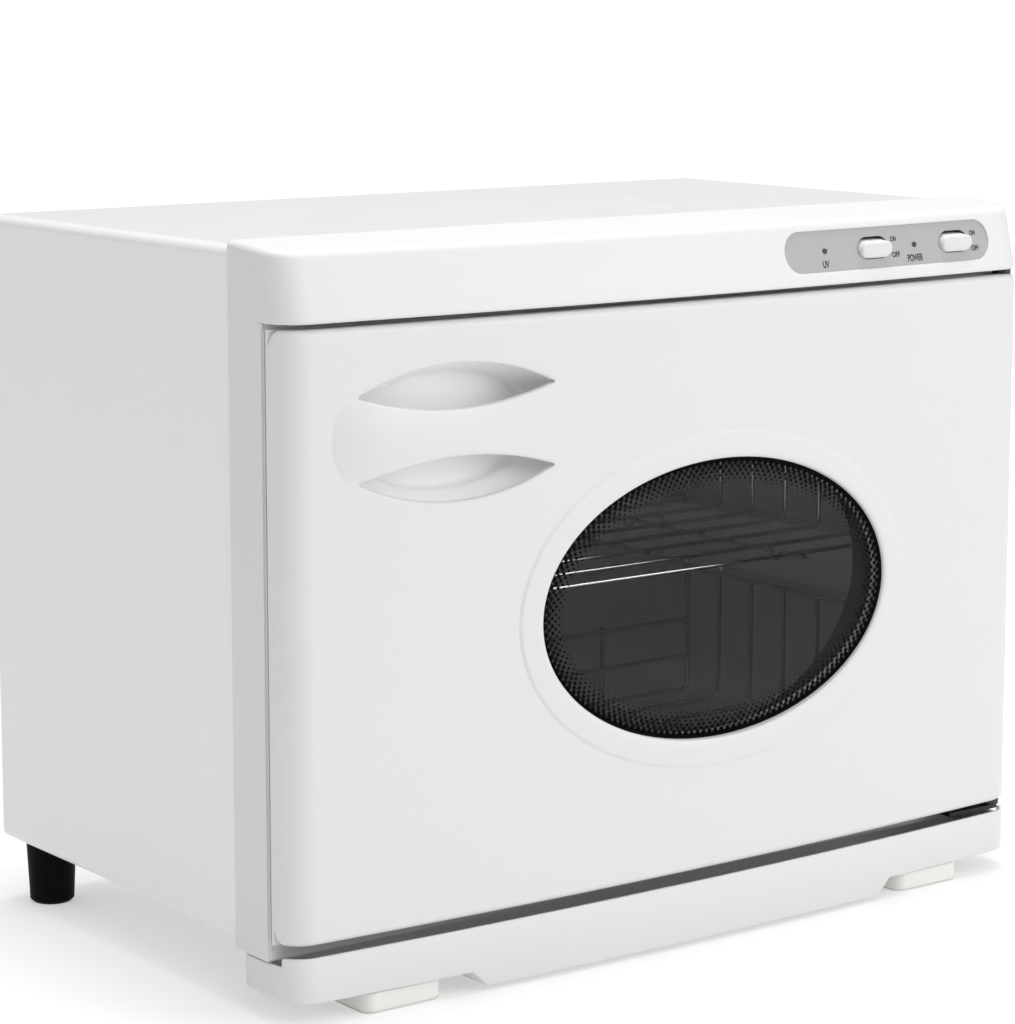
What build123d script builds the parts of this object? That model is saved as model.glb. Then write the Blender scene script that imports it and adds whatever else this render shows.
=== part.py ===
from build123d import *

import os
from math import atan2, degrees, radians, sqrt, tan

# Hot towel cabinet: an insulated, heated chamber with two wire racks, behind a bowed plastic
# door with an oval window and a bridged handle pocket. Millimetres. +X is to the right of
# someone facing the door, +Y runs towards the back and +Z is up. The origin is on the ground,
# in the middle of the cabinet's width and depth. "Rise" is a height above the casing's bottom.

# ---- Casing, a folded sheet-metal wrap, and the panels that close it ----
WIDTH = 450.0
CASING_DEPTH = 221.0
CASING_HEIGHT = 314.6
CASING_INSET = 1.0  # each side of the casing inside the plastic front frame
CASING_CORNER = 5.0
CASING_RETURN = 15.0  # inward fold along each bottom edge
REAR_RETURN = 10.0  # inward fold along the rear edges
SHEET = 1.0
PANEL_FOOT = 12.0  # forward fold along the back panel's lower edge
VENT_COUNT = 9
VENT_PITCH = 9.0
VENT_LENGTH = 42.0
VENT_WIDTH = 3.5

# ---- Feet ----
FOOT_HEIGHT = 31.0
REAR_FOOT_TOP = 25.0
REAR_FOOT_BOTTOM = 22.0
REAR_FOOT_SIDE = 18.0  # centre, from the cabinet's side
REAR_FOOT_INSET = 18.0
REAR_FOOT_EDGE = 1.5
PAD_THICKNESS = 10.0
PAD_SIDE = 40.0  # from the cabinet's side
PAD_WIDTH = 43.0
PAD_REACH = 45.0  # in front of the casing
PAD_CORNER = 6.0
PAD_EDGE = 0.8
FOOT_BLOCK = 26.0  # depth of the block that rises behind the tray

# ---- Plastic front frame, with the hood that holds the controls ----
FRAME_FLANGE = 27.6
FRAME_PROUD = 2.4
FRAME_DROP = 3.0
FRAME_WALL = 2.5
FRAME_FACE = 3.0
FRAME_LAP = 6.0
FRONT_DEPTH = 43.4  # casing to the front surface, at the cabinet's sides
BOW = 8.0  # how much further the middle of the front stands out
PLAN_CORNER = 16.0
HOOD_HEIGHT = 34.3
HOOD_LEAN = 8.3
HOOD_SLOPE = 3.6
HOOD_TOP_EDGE = 2.0

# ---- Control plate, switches and indicators ----
PLATE_SIDE = 25.0  # from the cabinet's right side, as are the next four
PLATE_WIDTH = 141.4
PLATE_HEIGHT = 21.5
PLATE_RISE = 16.1  # above the hood's bottom edge
PLATE_RECESS = 0.8
PLATE_THICKNESS = 1.8
PLATE_FLANGE = 2.5
UV_SWITCH_SIDE = 107.0
POWER_SWITCH_SIDE = 50.0
UV_LED_SIDE = 140.0
POWER_LED_SIDE = 78.6
LED_DIAMETER = 2.6
LED_LENGTH = 7.0
LED_PROUD = 0.5
CAP_WIDTH = 22.0
CAP_HEIGHT = 10.3
CAP_PROUD = 3.4
CAP_DEPTH = 3.0  # behind its pivot
PIVOT_DEPTH = 6.0  # behind the plate's front
ROCKER_THROW = 12.0  # degrees between OFF and ON
ROCKER_GAP = 0.3
AXLE_DIAMETER = 2.4
AXLE_REACH = 1.2
SWITCH_WALL = 2.0
SWITCH_DEPTH = 15.0

# ---- Door ----
DOOR_SILL = 5.8
DOOR_GAP = 2.5
DOOR_STANDOFF = 2.4
DOOR_WALL = 3.0
DOOR_EDGE = 3.5
PANEL_WALL = 1.5
PLUG_DEPTH = 17.0
PLUG_GAP = 5.0
PLUG_EDGE = 3.0
COLLAR_SETBACK = 0.5  # window collar, behind the plug's face
GASKET_WIDTH = 8.0
GASKET_GAP = 0.3

# ---- Oval window in the door ----
WINDOW_X = 17.5
WINDOW_RISE = 137.3
WINDOW_HALF_WIDTH = 105.5
WINDOW_HALF_HEIGHT = 65.5
RING_WIDTH = 14.0
RING_LIP = 3.0
RING_RISE = 2.2
GLASS_RECESS = 5.6
GLASS_THICKNESS = 4.0
GLASS_HOLD = 5.0
GLASS_GAP = 0.4
RETAINER_THICKNESS = 2.4

# ---- Handle: two lens-shaped openings either side of a bulged grip, over a cup ----
HANDLE_SIDE = 90.0  # centre, from the cabinet's left side
HANDLE_DROP = 50.2  # centre, below the door's top
POCKET_HALF_WIDTH = 53.0
POCKET_HALF_HEIGHT = 31.0
GRIP_HALF_END = 19.0
GRIP_HALF_WAIST = 10.5
BULGE_HALF_WIDTH = 66.0
BULGE_HALF_HEIGHT = 32.0
BULGE_RISE = 5.5
CUP_HALF_WIDTH = 56.0
CUP_HALF_HEIGHT = 32.0
CUP_CORNER = 26.0
CUP_WALL = 2.0
CUP_DEPTH = 23.0
CUP_DRAFT = 12.0  # degrees that its top and bottom lean in

# ---- Heated chamber ----
CHAMBER_SIDE = 23.0  # from the cabinet's sides
CHAMBER_RISE = 21.0
CHAMBER_DROP = 47.6  # ceiling, below the casing's top
CHAMBER_REAR = 25.6  # from the casing's rear
CHAMBER_CORNER = 24.0
LINER = 1.0
LINER_FLANGE = 8.0
INSULATION = 18.0  # top slab
INSULATION_GAP = 2.0  # side slabs to the casing
INSULATION_SPACE = 4.6  # rear slab to the back panel
HEATER_THICKNESS = 1.2
HEATER_SIDE = 52.0  # from the chamber's sides
HEATER_END = 40.0  # from the chamber's back and the liner's front
THERMOSTAT_DIAMETER = 16.0
THERMOSTAT_LENGTH = 10.0
TAB_LENGTH = 5.0
TAB_WIDTH = 4.0
TAB_THICKNESS = 0.8
FUSE_DIAMETER = 5.0
FUSE_LENGTH = 14.0

# ---- Racks and the rails that carry the upper one ----
RACK_WIRE = 2.5
RACK_SIDE = 15.0  # from the chamber's sides
RACK_SETBACK = 41.6  # frame face to the first wire
RACK_WIRES = 7
RACK_REAR = 19.4  # last long wire, from the chamber's back
RACK_SIDE_RISE = 69.5
RACK_CROSS_SHARES = (0.163, 0.316, 0.69, 0.84)
RACK_FENCE_RISES = (19.0, 40.0)
RACK_DIP = 4.6
WELD = 0.3  # how far crossing wires sink into each other
SUPPORT_RISE = 136.5
SUPPORT_HEIGHT = 32.0
SUPPORT_REACH = 18.0
SUPPORT_BEND = 2.0
SUPPORT_SETBACK = 36.0  # from the frame's face
SEAT_GAP = 0.1

# ---- Ultraviolet lamp under the chamber's ceiling ----
LAMP_DIAMETER = 15.5
LAMP_CAP = 9.0
LAMP_SIDE = 67.0  # from the chamber's sides
LAMP_DROP = 17.0
LAMP_REAR = 51.0  # axis, from the chamber's back
HOLDER_WIDTH = 20.0
HOLDER_THICKNESS = 12.0
GUARD_WIRE = 2.0
GUARD_GAP = 4.0
GUARD_BARS = 5
GUARD_END = 15.0  # first bar, from the lamp's end
GUARD_BAR_END = 4.0  # long wire, past the outer bars

# ---- Drip tray under the door ----
TRAY_LIP = 0.4
TRAY_SIDE = -3.6
TRAY_END = -20.6
TRAY_WELL = -28.5
TRAY_WELL_LEFT = 105.0  # from the cabinet's left side
TRAY_WELL_RIGHT = 100.0  # from its right side
TRAY_BACK = 7.6  # in front of the casing
TRAY_STEP = 7.4  # front of the frame's face
TRAY_WALL = 2.2
TRAY_CORNER = 5.0

# ---- Hinge, pins and catch ----
PIN_INSET = 10.5  # from the cabinet's right side
PIN_STANDOFF = 8.9  # in front of the frame's face
PIN_DIAMETER = 5.0
PIN_DEPTH = 16.0  # into the door
PIN_RUNNING = 0.05
BUSH_DIAMETER = 7.5
BUSH_FLANGE = 9.5
SWING_RADIUS = 8.5  # the door's back corner stays within this of the pin
HINGE_BLOCK = 11.0
ARM_THICKNESS = 2.0
LOWER_ARM_LENGTH = 36.0
UPPER_ARM_LENGTH = 12.0
ARM_END = 4.0  # radius around the pin
ARM_STANDOFF = 0.6
ARM_NECK = 7.0
ARM_LIFT = 0.8  # above the tray's lip
LEG_HEIGHT = 42.0
BUSH_PLAY = 0.06  # between a flange and the bracket or hood
MAGNET_WIDTH = 7.0
MAGNET_HEIGHT = 40.0
MAGNET_DEPTH = 7.0
STRIKER_THICKNESS = 0.8

# ---- Electrical parts in the space above the chamber ----
BALLAST_WIDTH = 92.0
BALLAST_DEPTH = 38.0
BALLAST_HEIGHT = 20.0
BALLAST_EDGE = 2.0
BALLAST_SIDE = 165.0  # centre, from the cabinet's right side
INLET_SIDE = 75.0  # centre, from the cabinet's left side
INLET_DROP = 26.6  # centre, below the casing's top
INLET_WIDTH = 27.0
INLET_HEIGHT = 19.5
INLET_DEPTH = 22.0
INLET_FLANGE_WIDTH = 50.0
INLET_FLANGE_HEIGHT = 25.0
INLET_WALL = 1.5
INLET_CORNER = 4.0
INLET_FLOOR = 4.5
INLET_PIN_PITCH = 7.0
INLET_PIN_WIDTH = 2.0
INLET_PIN_HEIGHT = 4.0
INLET_PIN_SETBACK = 4.0

# ---- Places worked out from the sizes above ----
HALF = WIDTH / 2
FRONT_REACH = FRONT_DEPTH + BOW + RING_RISE
SEAM_Y = (FRONT_REACH - CASING_DEPTH) / 2
REAR_Y = SEAM_Y + CASING_DEPTH
FACE_Y = SEAM_Y - FRAME_FLANGE
SIDE_FRONT_Y = SEAM_Y - FRONT_DEPTH
RIDGE_Y = SIDE_FRONT_Y - BOW - RING_RISE
DOOR_BACK_Y = FACE_Y - DOOR_STANDOFF
SHELL_BACK_Y = DOOR_BACK_Y - PANEL_WALL
PLUG_Y = DOOR_BACK_Y + PLUG_DEPTH
BASE_Z = FOOT_HEIGHT
CASING_TOP = BASE_Z + CASING_HEIGHT
FRAME_TOP = CASING_TOP + FRAME_PROUD
FRAME_BOTTOM = BASE_Z - FRAME_DROP
HOOD_BOTTOM = FRAME_TOP - HOOD_HEIGHT
DOOR_BOTTOM = BASE_Z + DOOR_SILL
DOOR_TOP = HOOD_BOTTOM - DOOR_GAP
CASING_HALF = HALF - CASING_INSET
CHAMBER_HALF = HALF - CHAMBER_SIDE
CHAMBER_FLOOR = BASE_Z + CHAMBER_RISE
CHAMBER_CEILING = CASING_TOP - CHAMBER_DROP
CHAMBER_BACK_Y = REAR_Y - CHAMBER_REAR
LINER_FRONT_Y = FACE_Y + FRAME_FACE
BACK_PANEL_Y = REAR_Y - SHEET
WINDOW_Z = BASE_Z + WINDOW_RISE
HANDLE_X = HANDLE_SIDE - HALF
HANDLE_Z = DOOR_TOP - HANDLE_DROP
GLASS_Y = RIDGE_Y + GLASS_RECESS
RETAINER_Y = GLASS_Y + GLASS_THICKNESS
PLATE_Z = HOOD_BOTTOM + PLATE_RISE
PLATE_RIGHT = HALF - PLATE_SIDE
PLATE_LEFT = PLATE_RIGHT - PLATE_WIDTH
UV_SWITCH_X = HALF - UV_SWITCH_SIDE
POWER_SWITCH_X = HALF - POWER_SWITCH_SIDE
UV_LED_X = HALF - UV_LED_SIDE
POWER_LED_X = HALF - POWER_LED_SIDE
PIN_X = HALF - PIN_INSET
PIN_Y = FACE_Y - PIN_STANDOFF
ARM_BOTTOM = BASE_Z + TRAY_LIP + ARM_LIFT
UPPER_ARM_BOTTOM = HOOD_BOTTOM + FRAME_WALL
SUPPORT_Z = BASE_Z + SUPPORT_RISE
RACK_HALF = CHAMBER_HALF - RACK_SIDE
RACK_FIRST_Y = FACE_Y + RACK_SETBACK
RACK_LAST_Y = CHAMBER_BACK_Y - RACK_REAR
INLET_X = INLET_SIDE - HALF
INLET_Z = CASING_TOP - INLET_DROP
BALLAST_X = HALF - BALLAST_SIDE
UPPER_RACK_Z = SUPPORT_Z + SEAT_GAP + RACK_WIRE / 2
LOWER_RACK_Z = CHAMBER_FLOOR + SEAT_GAP + RACK_DIP + RACK_WIRE / sqrt(2) + RACK_WIRE - WELD
THERMOSTAT_Z = (3 * CHAMBER_FLOOR + CHAMBER_CEILING) / 4
BOW_RADIUS = (HALF**2 + BOW**2) / (2 * BOW)
BOW_CENTRE_Y = SIDE_FRONT_Y + BOW_RADIUS - BOW


# ---- Shared shapes ----
def bow_y(x, inset=0.0):
    """Y of the bowed front surface at x, or of a surface parallel to it and inset behind it."""
    return BOW_CENTRE_Y - sqrt((BOW_RADIUS - inset) ** 2 - x**2)


def bowed_plan(back_y, inset=0.0):
    """Plan of the door, hood and tray: straight back, bowed front, rounded front corners."""
    half = HALF - inset
    edge_y = bow_y(half, inset)
    sides = Polyline((half, edge_y), (half, SEAM_Y), (-half, SEAM_Y), (-half, edge_y))
    front = ThreePointArc((-half, edge_y), (0, bow_y(0, inset)), (half, edge_y))
    plan = make_face(Wire([*sides.edges(), *front.edges()]))
    plan = fillet(plan.vertices().sort_by(Axis.Y)[:2], PLAN_CORNER - inset)
    depth = 2 * WIDTH
    return plan & Pos(0, back_y - depth / 2) * Rectangle(depth, depth)


def upright(outline, front_y, back_y):
    """Extrude an outline drawn in X and Z between two depths."""
    return extrude(Plane.XZ.offset(-back_y) * outline, back_y - front_y)


def side_profile(points, left_x, right_x):
    """Extrude an outline drawn in Y and Z between two positions in X."""
    return extrude(Plane.YZ.offset(left_x) * make_face(Polyline(*points, close=True)), right_x - left_x)


def block(low, high):
    """Box between two opposite corners."""
    size = [h - l for l, h in zip(low, high)]
    middle = [(h + l) / 2 for l, h in zip(low, high)]
    return Pos(*middle) * Box(*size)


def rod(diameter, start, end):
    """Round bar between two points."""
    axis = Vector(*end) - Vector(*start)
    return extrude(Plane(origin=start, z_dir=axis) * Circle(diameter / 2), axis.length)


def window_oval(grow):
    """Outline of the window, larger all round by grow."""
    return Pos(WINDOW_X, WINDOW_Z) * Ellipse(WINDOW_HALF_WIDTH + grow, WINDOW_HALF_HEIGHT + grow)


def chamber_outline(grow):
    """Rounded outline of the chamber in X and Z, larger all round by grow."""
    outline = RectangleRounded(
        2 * (CHAMBER_HALF + grow), CHAMBER_CEILING - CHAMBER_FLOOR + 2 * grow, CHAMBER_CORNER + grow
    )
    return Pos(0, (CHAMBER_FLOOR + CHAMBER_CEILING) / 2) * outline


def stadium(width, height):
    """Outline with straight top and bottom and half-round ends."""
    return SlotOverall(width, height)


def oval_loft(x, z, near, far):
    """Loft between two ovals, each given as half width, half height and depth."""
    sections = [
        Plane.XZ.offset(-y) * (Pos(x, z) * Ellipse(half_width, half_height))
        for half_width, half_height, y in (near, far)
    ]
    return loft([section.face() for section in sections], ruled=True)


# ---- Casing ----
def outer_casing():
    """Top and sides folded from one sheet, with returns along the bottom and rear edges."""
    height, middle = CASING_HEIGHT, BASE_Z + CASING_HEIGHT / 2
    outside = Pos(0, middle) * RectangleRounded(2 * CASING_HALF, height, CASING_CORNER)
    inside = Pos(0, middle) * RectangleRounded(
        2 * (CASING_HALF - SHEET), height - 2 * SHEET, CASING_CORNER - SHEET
    )
    gap = Pos(0, BASE_Z) * Rectangle(2 * (CASING_HALF - CASING_RETURN), 4 * SHEET)
    casing = upright(outside - inside - gap, SEAM_Y, REAR_Y)
    window_low, window_high = BASE_Z - SHEET, CASING_TOP - REAR_RETURN
    rear_window = Pos(0, (window_low + window_high) / 2) * Rectangle(
        2 * (CASING_HALF - REAR_RETURN), window_high - window_low
    )
    casing += upright(outside - rear_window, REAR_Y - SHEET, REAR_Y)
    return casing


def bottom_panel():
    """Floor sheet, resting on the casing's returns."""
    half = CASING_HALF - CASING_CORNER
    low = BASE_Z + SHEET
    panel = block(
        (-half, SEAM_Y + FRAME_LAP + SEAT_GAP, low), (half, BACK_PANEL_Y, low + SHEET)
    )
    return panel


def back_panel():
    """Rear cover inside the casing's returns, with vents at the top and a cut-out for the inlet."""
    half = CASING_HALF - SHEET - SEAT_GAP
    low = BASE_Z + 2 * SHEET + SEAT_GAP
    high = CASING_TOP - SHEET - SEAT_GAP
    outline = Pos(0, (low + high) / 2) * RectangleRounded(2 * half, high - low, CASING_CORNER - SHEET)
    slot = Pos(BALLAST_X, CASING_TOP - VENT_LENGTH) * Rectangle(VENT_WIDTH, VENT_LENGTH)
    for index in range(VENT_COUNT):
        outline -= Pos((index - (VENT_COUNT - 1) / 2) * VENT_PITCH, 0) * slot
    outline -= Pos(INLET_X, INLET_Z) * Rectangle(INLET_WIDTH, INLET_HEIGHT)
    panel = upright(outline, BACK_PANEL_Y - SHEET, BACK_PANEL_Y)
    reach = half - CASING_CORNER
    panel += block((-reach, BACK_PANEL_Y - PANEL_FOOT, low), (reach, BACK_PANEL_Y, low + SHEET))
    return panel


# ---- Feet ----
def rear_feet():
    """Pair of tapered rubber feet."""
    feet = []
    for side in (-1, 1):
        place = Pos(side * (HALF - REAR_FOOT_SIDE), REAR_Y - REAR_FOOT_INSET, FOOT_HEIGHT / 2)
        foot = place * Cone(REAR_FOOT_BOTTOM / 2, REAR_FOOT_TOP / 2, FOOT_HEIGHT)
        feet.append(chamfer(foot.edges().group_by(Axis.Z)[0], REAR_FOOT_EDGE))
    return Compound(children=feet)


def front_foot(side):
    """Block under the casing with a flat pad that reaches forward under the drip tray."""
    inner, outer = sorted((side * (HALF - PAD_SIDE - PAD_WIDTH), side * (HALF - PAD_SIDE)))
    front_y = SEAM_Y - PAD_REACH
    back_y = SEAM_Y + FRAME_LAP + FOOT_BLOCK
    pad = block((inner, front_y, 0), (outer, back_y, PAD_THICKNESS))
    corners = pad.edges().filter_by(Axis.Z).group_by(Axis.Y)[0]
    pad = fillet(corners, PAD_CORNER)
    top = BASE_Z + SHEET
    foot = pad + block((inner, SEAM_Y + FRAME_LAP, 0), (outer, back_y, top))
    return chamfer(foot.edges().group_by(Axis.Z)[0], PAD_EDGE)


# ---- Front frame ----
def slope_wedge(inset):
    """What lies above the frame's top, which falls gently towards the front."""
    reach = 2 * FRONT_REACH
    drop = HOOD_SLOPE * reach / FRONT_DEPTH
    top = FRAME_TOP - inset
    above = FRAME_TOP + HOOD_HEIGHT
    points = [(SEAM_Y, top), (SEAM_Y - reach, top - drop), (SEAM_Y - reach, above), (SEAM_Y, above)]
    return side_profile(points, -WIDTH, WIDTH)


def hood(inset):
    """Hood body: a bowed plan whose front leans back as it rises."""
    low, high = HOOD_BOTTOM + inset, FRAME_TOP + inset
    lean = HOOD_LEAN / HOOD_HEIGHT
    plan = Pos(0, lean * inset, low) * bowed_plan(SEAM_Y, inset)
    body = extrude(plan, (high - low) * sqrt(1 + lean**2), dir=(0, lean, 1))
    body &= block((-WIDTH, SEAM_Y - WIDTH, low), (WIDTH, SEAM_Y, high))
    return body - slope_wedge(inset)


def stadium_through(width, height, x, front_gap=0.0):
    """Level prism through the hood's leaning face, for the plate and what sits in it."""
    front_y = SIDE_FRONT_Y - 2 * BOW - front_gap
    return upright(Pos(x, PLATE_Z) * stadium(width, height), front_y, FACE_Y)


def front_frame():
    """One moulding: a flat ring around the chamber, with the hood over the door."""
    ring = block((-HALF, FACE_Y, FRAME_BOTTOM), (HALF, SEAM_Y, FRAME_TOP)) - slope_wedge(0)
    outside = ring + hood(0)
    top_edges = [
        e for e in outside.edges()
        if e.center().Z > HOOD_BOTTOM + HOOD_HEIGHT / 2
        and e.center().Y < SEAM_Y - 1
        and abs(e.tangent_at(0.5).Z) < 0.5
    ]
    outside = chamfer(top_edges, HOOD_TOP_EDGE)
    wall = FRAME_WALL
    inside = block(
        (wall - HALF, FACE_Y + FRAME_FACE, FRAME_BOTTOM + wall), (HALF - wall, SEAM_Y, FRAME_TOP - wall)
    )
    inside = (inside - slope_wedge(wall)) + hood(wall)
    frame = outside - inside
    frame += casing_lap()
    frame -= upright(chamber_outline(0), FACE_Y - 1, FACE_Y + FRAME_FACE + 1)
    width = PLATE_RIGHT - PLATE_LEFT + 2 * SEAT_GAP
    middle = (PLATE_LEFT + PLATE_RIGHT) / 2
    frame -= stadium_through(width, PLATE_HEIGHT + 2 * SEAT_GAP, middle)
    neck = arm_neck_left()
    frame -= block(
        (neck - SEAT_GAP, FACE_Y - 1, ARM_BOTTOM - SEAT_GAP),
        (neck + ARM_NECK + SEAT_GAP, FACE_Y + FRAME_FACE, ARM_BOTTOM + ARM_THICKNESS + SEAT_GAP),
    )
    frame -= hinge_arm(UPPER_ARM_BOTTOM, UPPER_ARM_LENGTH, SEAT_GAP)
    frame -= Pos(PIN_X, PIN_Y, HOOD_BOTTOM) * Cylinder(PIN_DIAMETER / 2, 4 * FRAME_WALL)
    low_z, high_z = magnet_span()
    frame -= block(
        (magnet_left() - SEAT_GAP, FACE_Y - 1, low_z - SEAT_GAP),
        (magnet_left() + MAGNET_WIDTH + SEAT_GAP, FACE_Y + FRAME_FACE + 1, high_z + SEAT_GAP),
    )
    return frame


def casing_lap():
    """Rear rim of the frame, and the lip that slips inside the casing."""
    half = CASING_HALF - SHEET - SEAT_GAP
    low = BASE_Z + SHEET + SEAT_GAP
    high = CASING_TOP - SHEET - SEAT_GAP
    middle = (low + high) / 2
    corner = CASING_CORNER - SHEET
    lip = Pos(0, middle) * RectangleRounded(2 * half, high - low, corner)
    hole = Pos(0, middle) * RectangleRounded(
        2 * (half - FRAME_WALL), high - low - 2 * FRAME_WALL, 1.0
    )
    rim_low, rim_high = FRAME_BOTTOM, FRAME_TOP - HOOD_SLOPE
    rim = Pos(0, (rim_low + rim_high) / 2) * Rectangle(WIDTH, rim_high - rim_low)
    return upright(rim - hole, SEAM_Y - FRAME_WALL, SEAM_Y) + upright(
        lip - hole, SEAM_Y - FRAME_WALL, SEAM_Y + FRAME_LAP
    )


# ---- Controls ----
def control_plate():
    """Grey plate that follows the hood's bow from behind, with a flange around its back."""
    width, middle = PLATE_RIGHT - PLATE_LEFT, (PLATE_LEFT + PLATE_RIGHT) / 2
    back = FRAME_WALL + PLATE_THICKNESS
    face = stadium_through(width, PLATE_HEIGHT, middle) & (hood(PLATE_RECESS) - hood(back))
    grow = 2 * PLATE_FLANGE
    flange = stadium_through(width + grow, PLATE_HEIGHT + grow, middle)
    plate = face + (flange & (hood(FRAME_WALL) - hood(back)))
    for x in (UV_SWITCH_X, POWER_SWITCH_X):
        plate -= stadium_through(switch_hole()[0], switch_hole()[1], x)
    for x in (UV_LED_X, POWER_LED_X):
        plate -= stadium_through(LED_DIAMETER + 0.01, LED_DIAMETER, x)
    return plate


def plate_front_y(x):
    """Y of the plate's front at its middle height."""
    return bow_y(x, PLATE_RECESS) + HOOD_LEAN / HOOD_HEIGHT * PLATE_RISE


def switch_hole():
    """Size of the hole for a rocker: its cap plus the room that its throw needs."""
    reach = PIVOT_DEPTH * tan(radians(ROCKER_THROW / 2))
    return CAP_WIDTH + 2 * ROCKER_GAP, CAP_HEIGHT + 2 * (reach + 2 * ROCKER_GAP)


def pivot(x):
    """Centre of a rocker's axle."""
    return Vector(x, plate_front_y(x) + PIVOT_DEPTH, PLATE_Z)


def switch_rocker(x):
    """Stadium-shaped rocker cap on its axle, at rest in the OFF position."""
    length = CAP_PROUD + PIVOT_DEPTH + CAP_DEPTH
    cap = extrude(Plane.XZ * stadium(CAP_WIDTH, CAP_HEIGHT), length)
    cap = Pos(0, CAP_DEPTH, 0) * cap
    reach = CAP_WIDTH / 2 + AXLE_REACH
    cap += rod(AXLE_DIAMETER, (-reach, 0, 0), (reach, 0, 0))
    return Pos(pivot(x)) * Rot(ROCKER_THROW / 2, 0, 0) * cap


def switch_housing(x):
    """Box behind the plate that carries a rocker's axle ends."""
    width, height = switch_hole()
    centre = pivot(x)
    front_y, back_y = centre.Y - 3 * BOW, centre.Y + SWITCH_DEPTH
    outer = Pos(x, PLATE_Z) * Rectangle(width + 2 * SWITCH_WALL, height + 2 * SWITCH_WALL)
    inner = Pos(x, PLATE_Z) * Rectangle(width, height)
    housing = upright(outer, front_y, back_y) & hood(FRAME_WALL + PLATE_THICKNESS)
    housing -= upright(inner, front_y, back_y - SWITCH_WALL)
    reach = CAP_WIDTH / 2 + AXLE_REACH + ROCKER_GAP
    bore = AXLE_DIAMETER + 2 * PIN_RUNNING
    return housing - rod(bore, centre - Vector(reach, 0, 0), centre + Vector(reach, 0, 0))


def indicator_lenses():
    """Two small dark lenses, standing just proud of the plate."""
    lenses = []
    for x in (UV_LED_X, POWER_LED_X):
        front_y = plate_front_y(x) - LED_PROUD
        lenses.append(rod(LED_DIAMETER, (x, front_y, PLATE_Z), (x, front_y + LED_LENGTH, PLATE_Z)))
    return Compound(children=lenses)


# ---- Chamber ----
def inner_chamber():
    """Drawn aluminium liner: a rounded box, open at the front, with a flange behind the frame."""
    liner = upright(chamber_outline(LINER), LINER_FRONT_Y, CHAMBER_BACK_Y + LINER)
    liner += upright(chamber_outline(LINER + LINER_FLANGE), LINER_FRONT_Y, LINER_FRONT_Y + LINER)
    liner -= upright(chamber_outline(0), LINER_FRONT_Y - 1, CHAMBER_BACK_Y)
    return liner


def insulation():
    """Foam and wool slabs between the liner and the casing, cut away for what they cover."""
    front_y = LINER_FRONT_Y + LINER
    back_y = CHAMBER_BACK_Y + LINER
    liner = upright(chamber_outline(LINER), front_y, back_y)
    half = CHAMBER_HALF + LINER
    low, high = CHAMBER_FLOOR - LINER, CHAMBER_CEILING + LINER
    out = CASING_HALF - SHEET - INSULATION_GAP
    rear_y = BACK_PANEL_Y - SHEET - INSULATION_SPACE
    floor_z = BASE_Z + 2 * SHEET
    inside_y = SEAM_Y + FRAME_LAP
    slabs = {
        "insulation_top": block((-half, inside_y, high), (half, back_y, high + INSULATION)),
        "insulation_bottom": block((-half, inside_y, floor_z), (half, back_y, low)),
        "insulation_left": block((-out, inside_y, floor_z), (-half, back_y, high)),
        "insulation_right": block((half, inside_y, floor_z), (out, back_y, high)),
        "insulation_rear": block((-half, back_y, floor_z + 2 * SHEET), (half, rear_y, high)),
    }
    slabs["insulation_bottom"] -= heater_space()
    slabs["insulation_rear"] -= upright(thermostat_outline(0.5), back_y - 1, REAR_Y)
    slabs["insulation_rear"] -= fuse_pocket()
    return slabs


def heater_space():
    """Flat space under the chamber's floor that the heating mat fills."""
    half = CHAMBER_HALF - HEATER_SIDE
    top = CHAMBER_FLOOR - LINER
    return block(
        (-half, LINER_FRONT_Y + HEATER_END, top - HEATER_THICKNESS),
        (half, CHAMBER_BACK_Y - HEATER_END, top),
    )


def thermostat_outline(grow):
    """Round outline of the thermostat, low in the middle of the chamber's back."""
    return Pos(0, THERMOSTAT_Z) * Circle(THERMOSTAT_DIAMETER / 2 + grow)


def thermostat():
    """Snap-disc thermostat pressed against the liner's back, with two tab terminals."""
    back_y = CHAMBER_BACK_Y + LINER
    body = upright(thermostat_outline(0), back_y, back_y + THERMOSTAT_LENGTH)
    z = THERMOSTAT_Z
    for side in (-1, 1):
        x = side * THERMOSTAT_DIAMETER / 4
        root_y = back_y + THERMOSTAT_LENGTH
        low = (x - TAB_WIDTH / 2, root_y - TAB_THICKNESS, z - TAB_THICKNESS / 2)
        body += block(low, (x + TAB_WIDTH / 2, root_y + TAB_LENGTH, z + TAB_THICKNESS / 2))
    return body


def thermal_fuse():
    """One-shot fuse beside the thermostat, against the liner."""
    back_y = CHAMBER_BACK_Y + LINER
    x, z = THERMOSTAT_DIAMETER, THERMOSTAT_Z
    y = back_y + FUSE_DIAMETER / 2
    return rod(FUSE_DIAMETER, (x, y, z), (x + FUSE_LENGTH, y, z))


def fuse_pocket():
    """Room for the fuse in the rear slab."""
    back_y = CHAMBER_BACK_Y + LINER
    x, z = THERMOSTAT_DIAMETER, THERMOSTAT_Z
    reach = FUSE_DIAMETER / 2 + SEAT_GAP
    return block(
        (x - SEAT_GAP, back_y, z - reach), (x + FUSE_LENGTH + SEAT_GAP, back_y + 2 * reach, z + reach)
    )


# ---- Racks ----
def wire(points, diameter=RACK_WIRE):
    """Wire along a run of points, mitred where it bends. Its section has eight flats."""
    path = Polyline(*points)
    section = RegularPolygon(diameter / 2, 8, major_radius=False, rotation=22.5)
    return sweep(Plane(origin=points[0], z_dir=path % 0) * section, path=path, transition=Transition.RIGHT)


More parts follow.
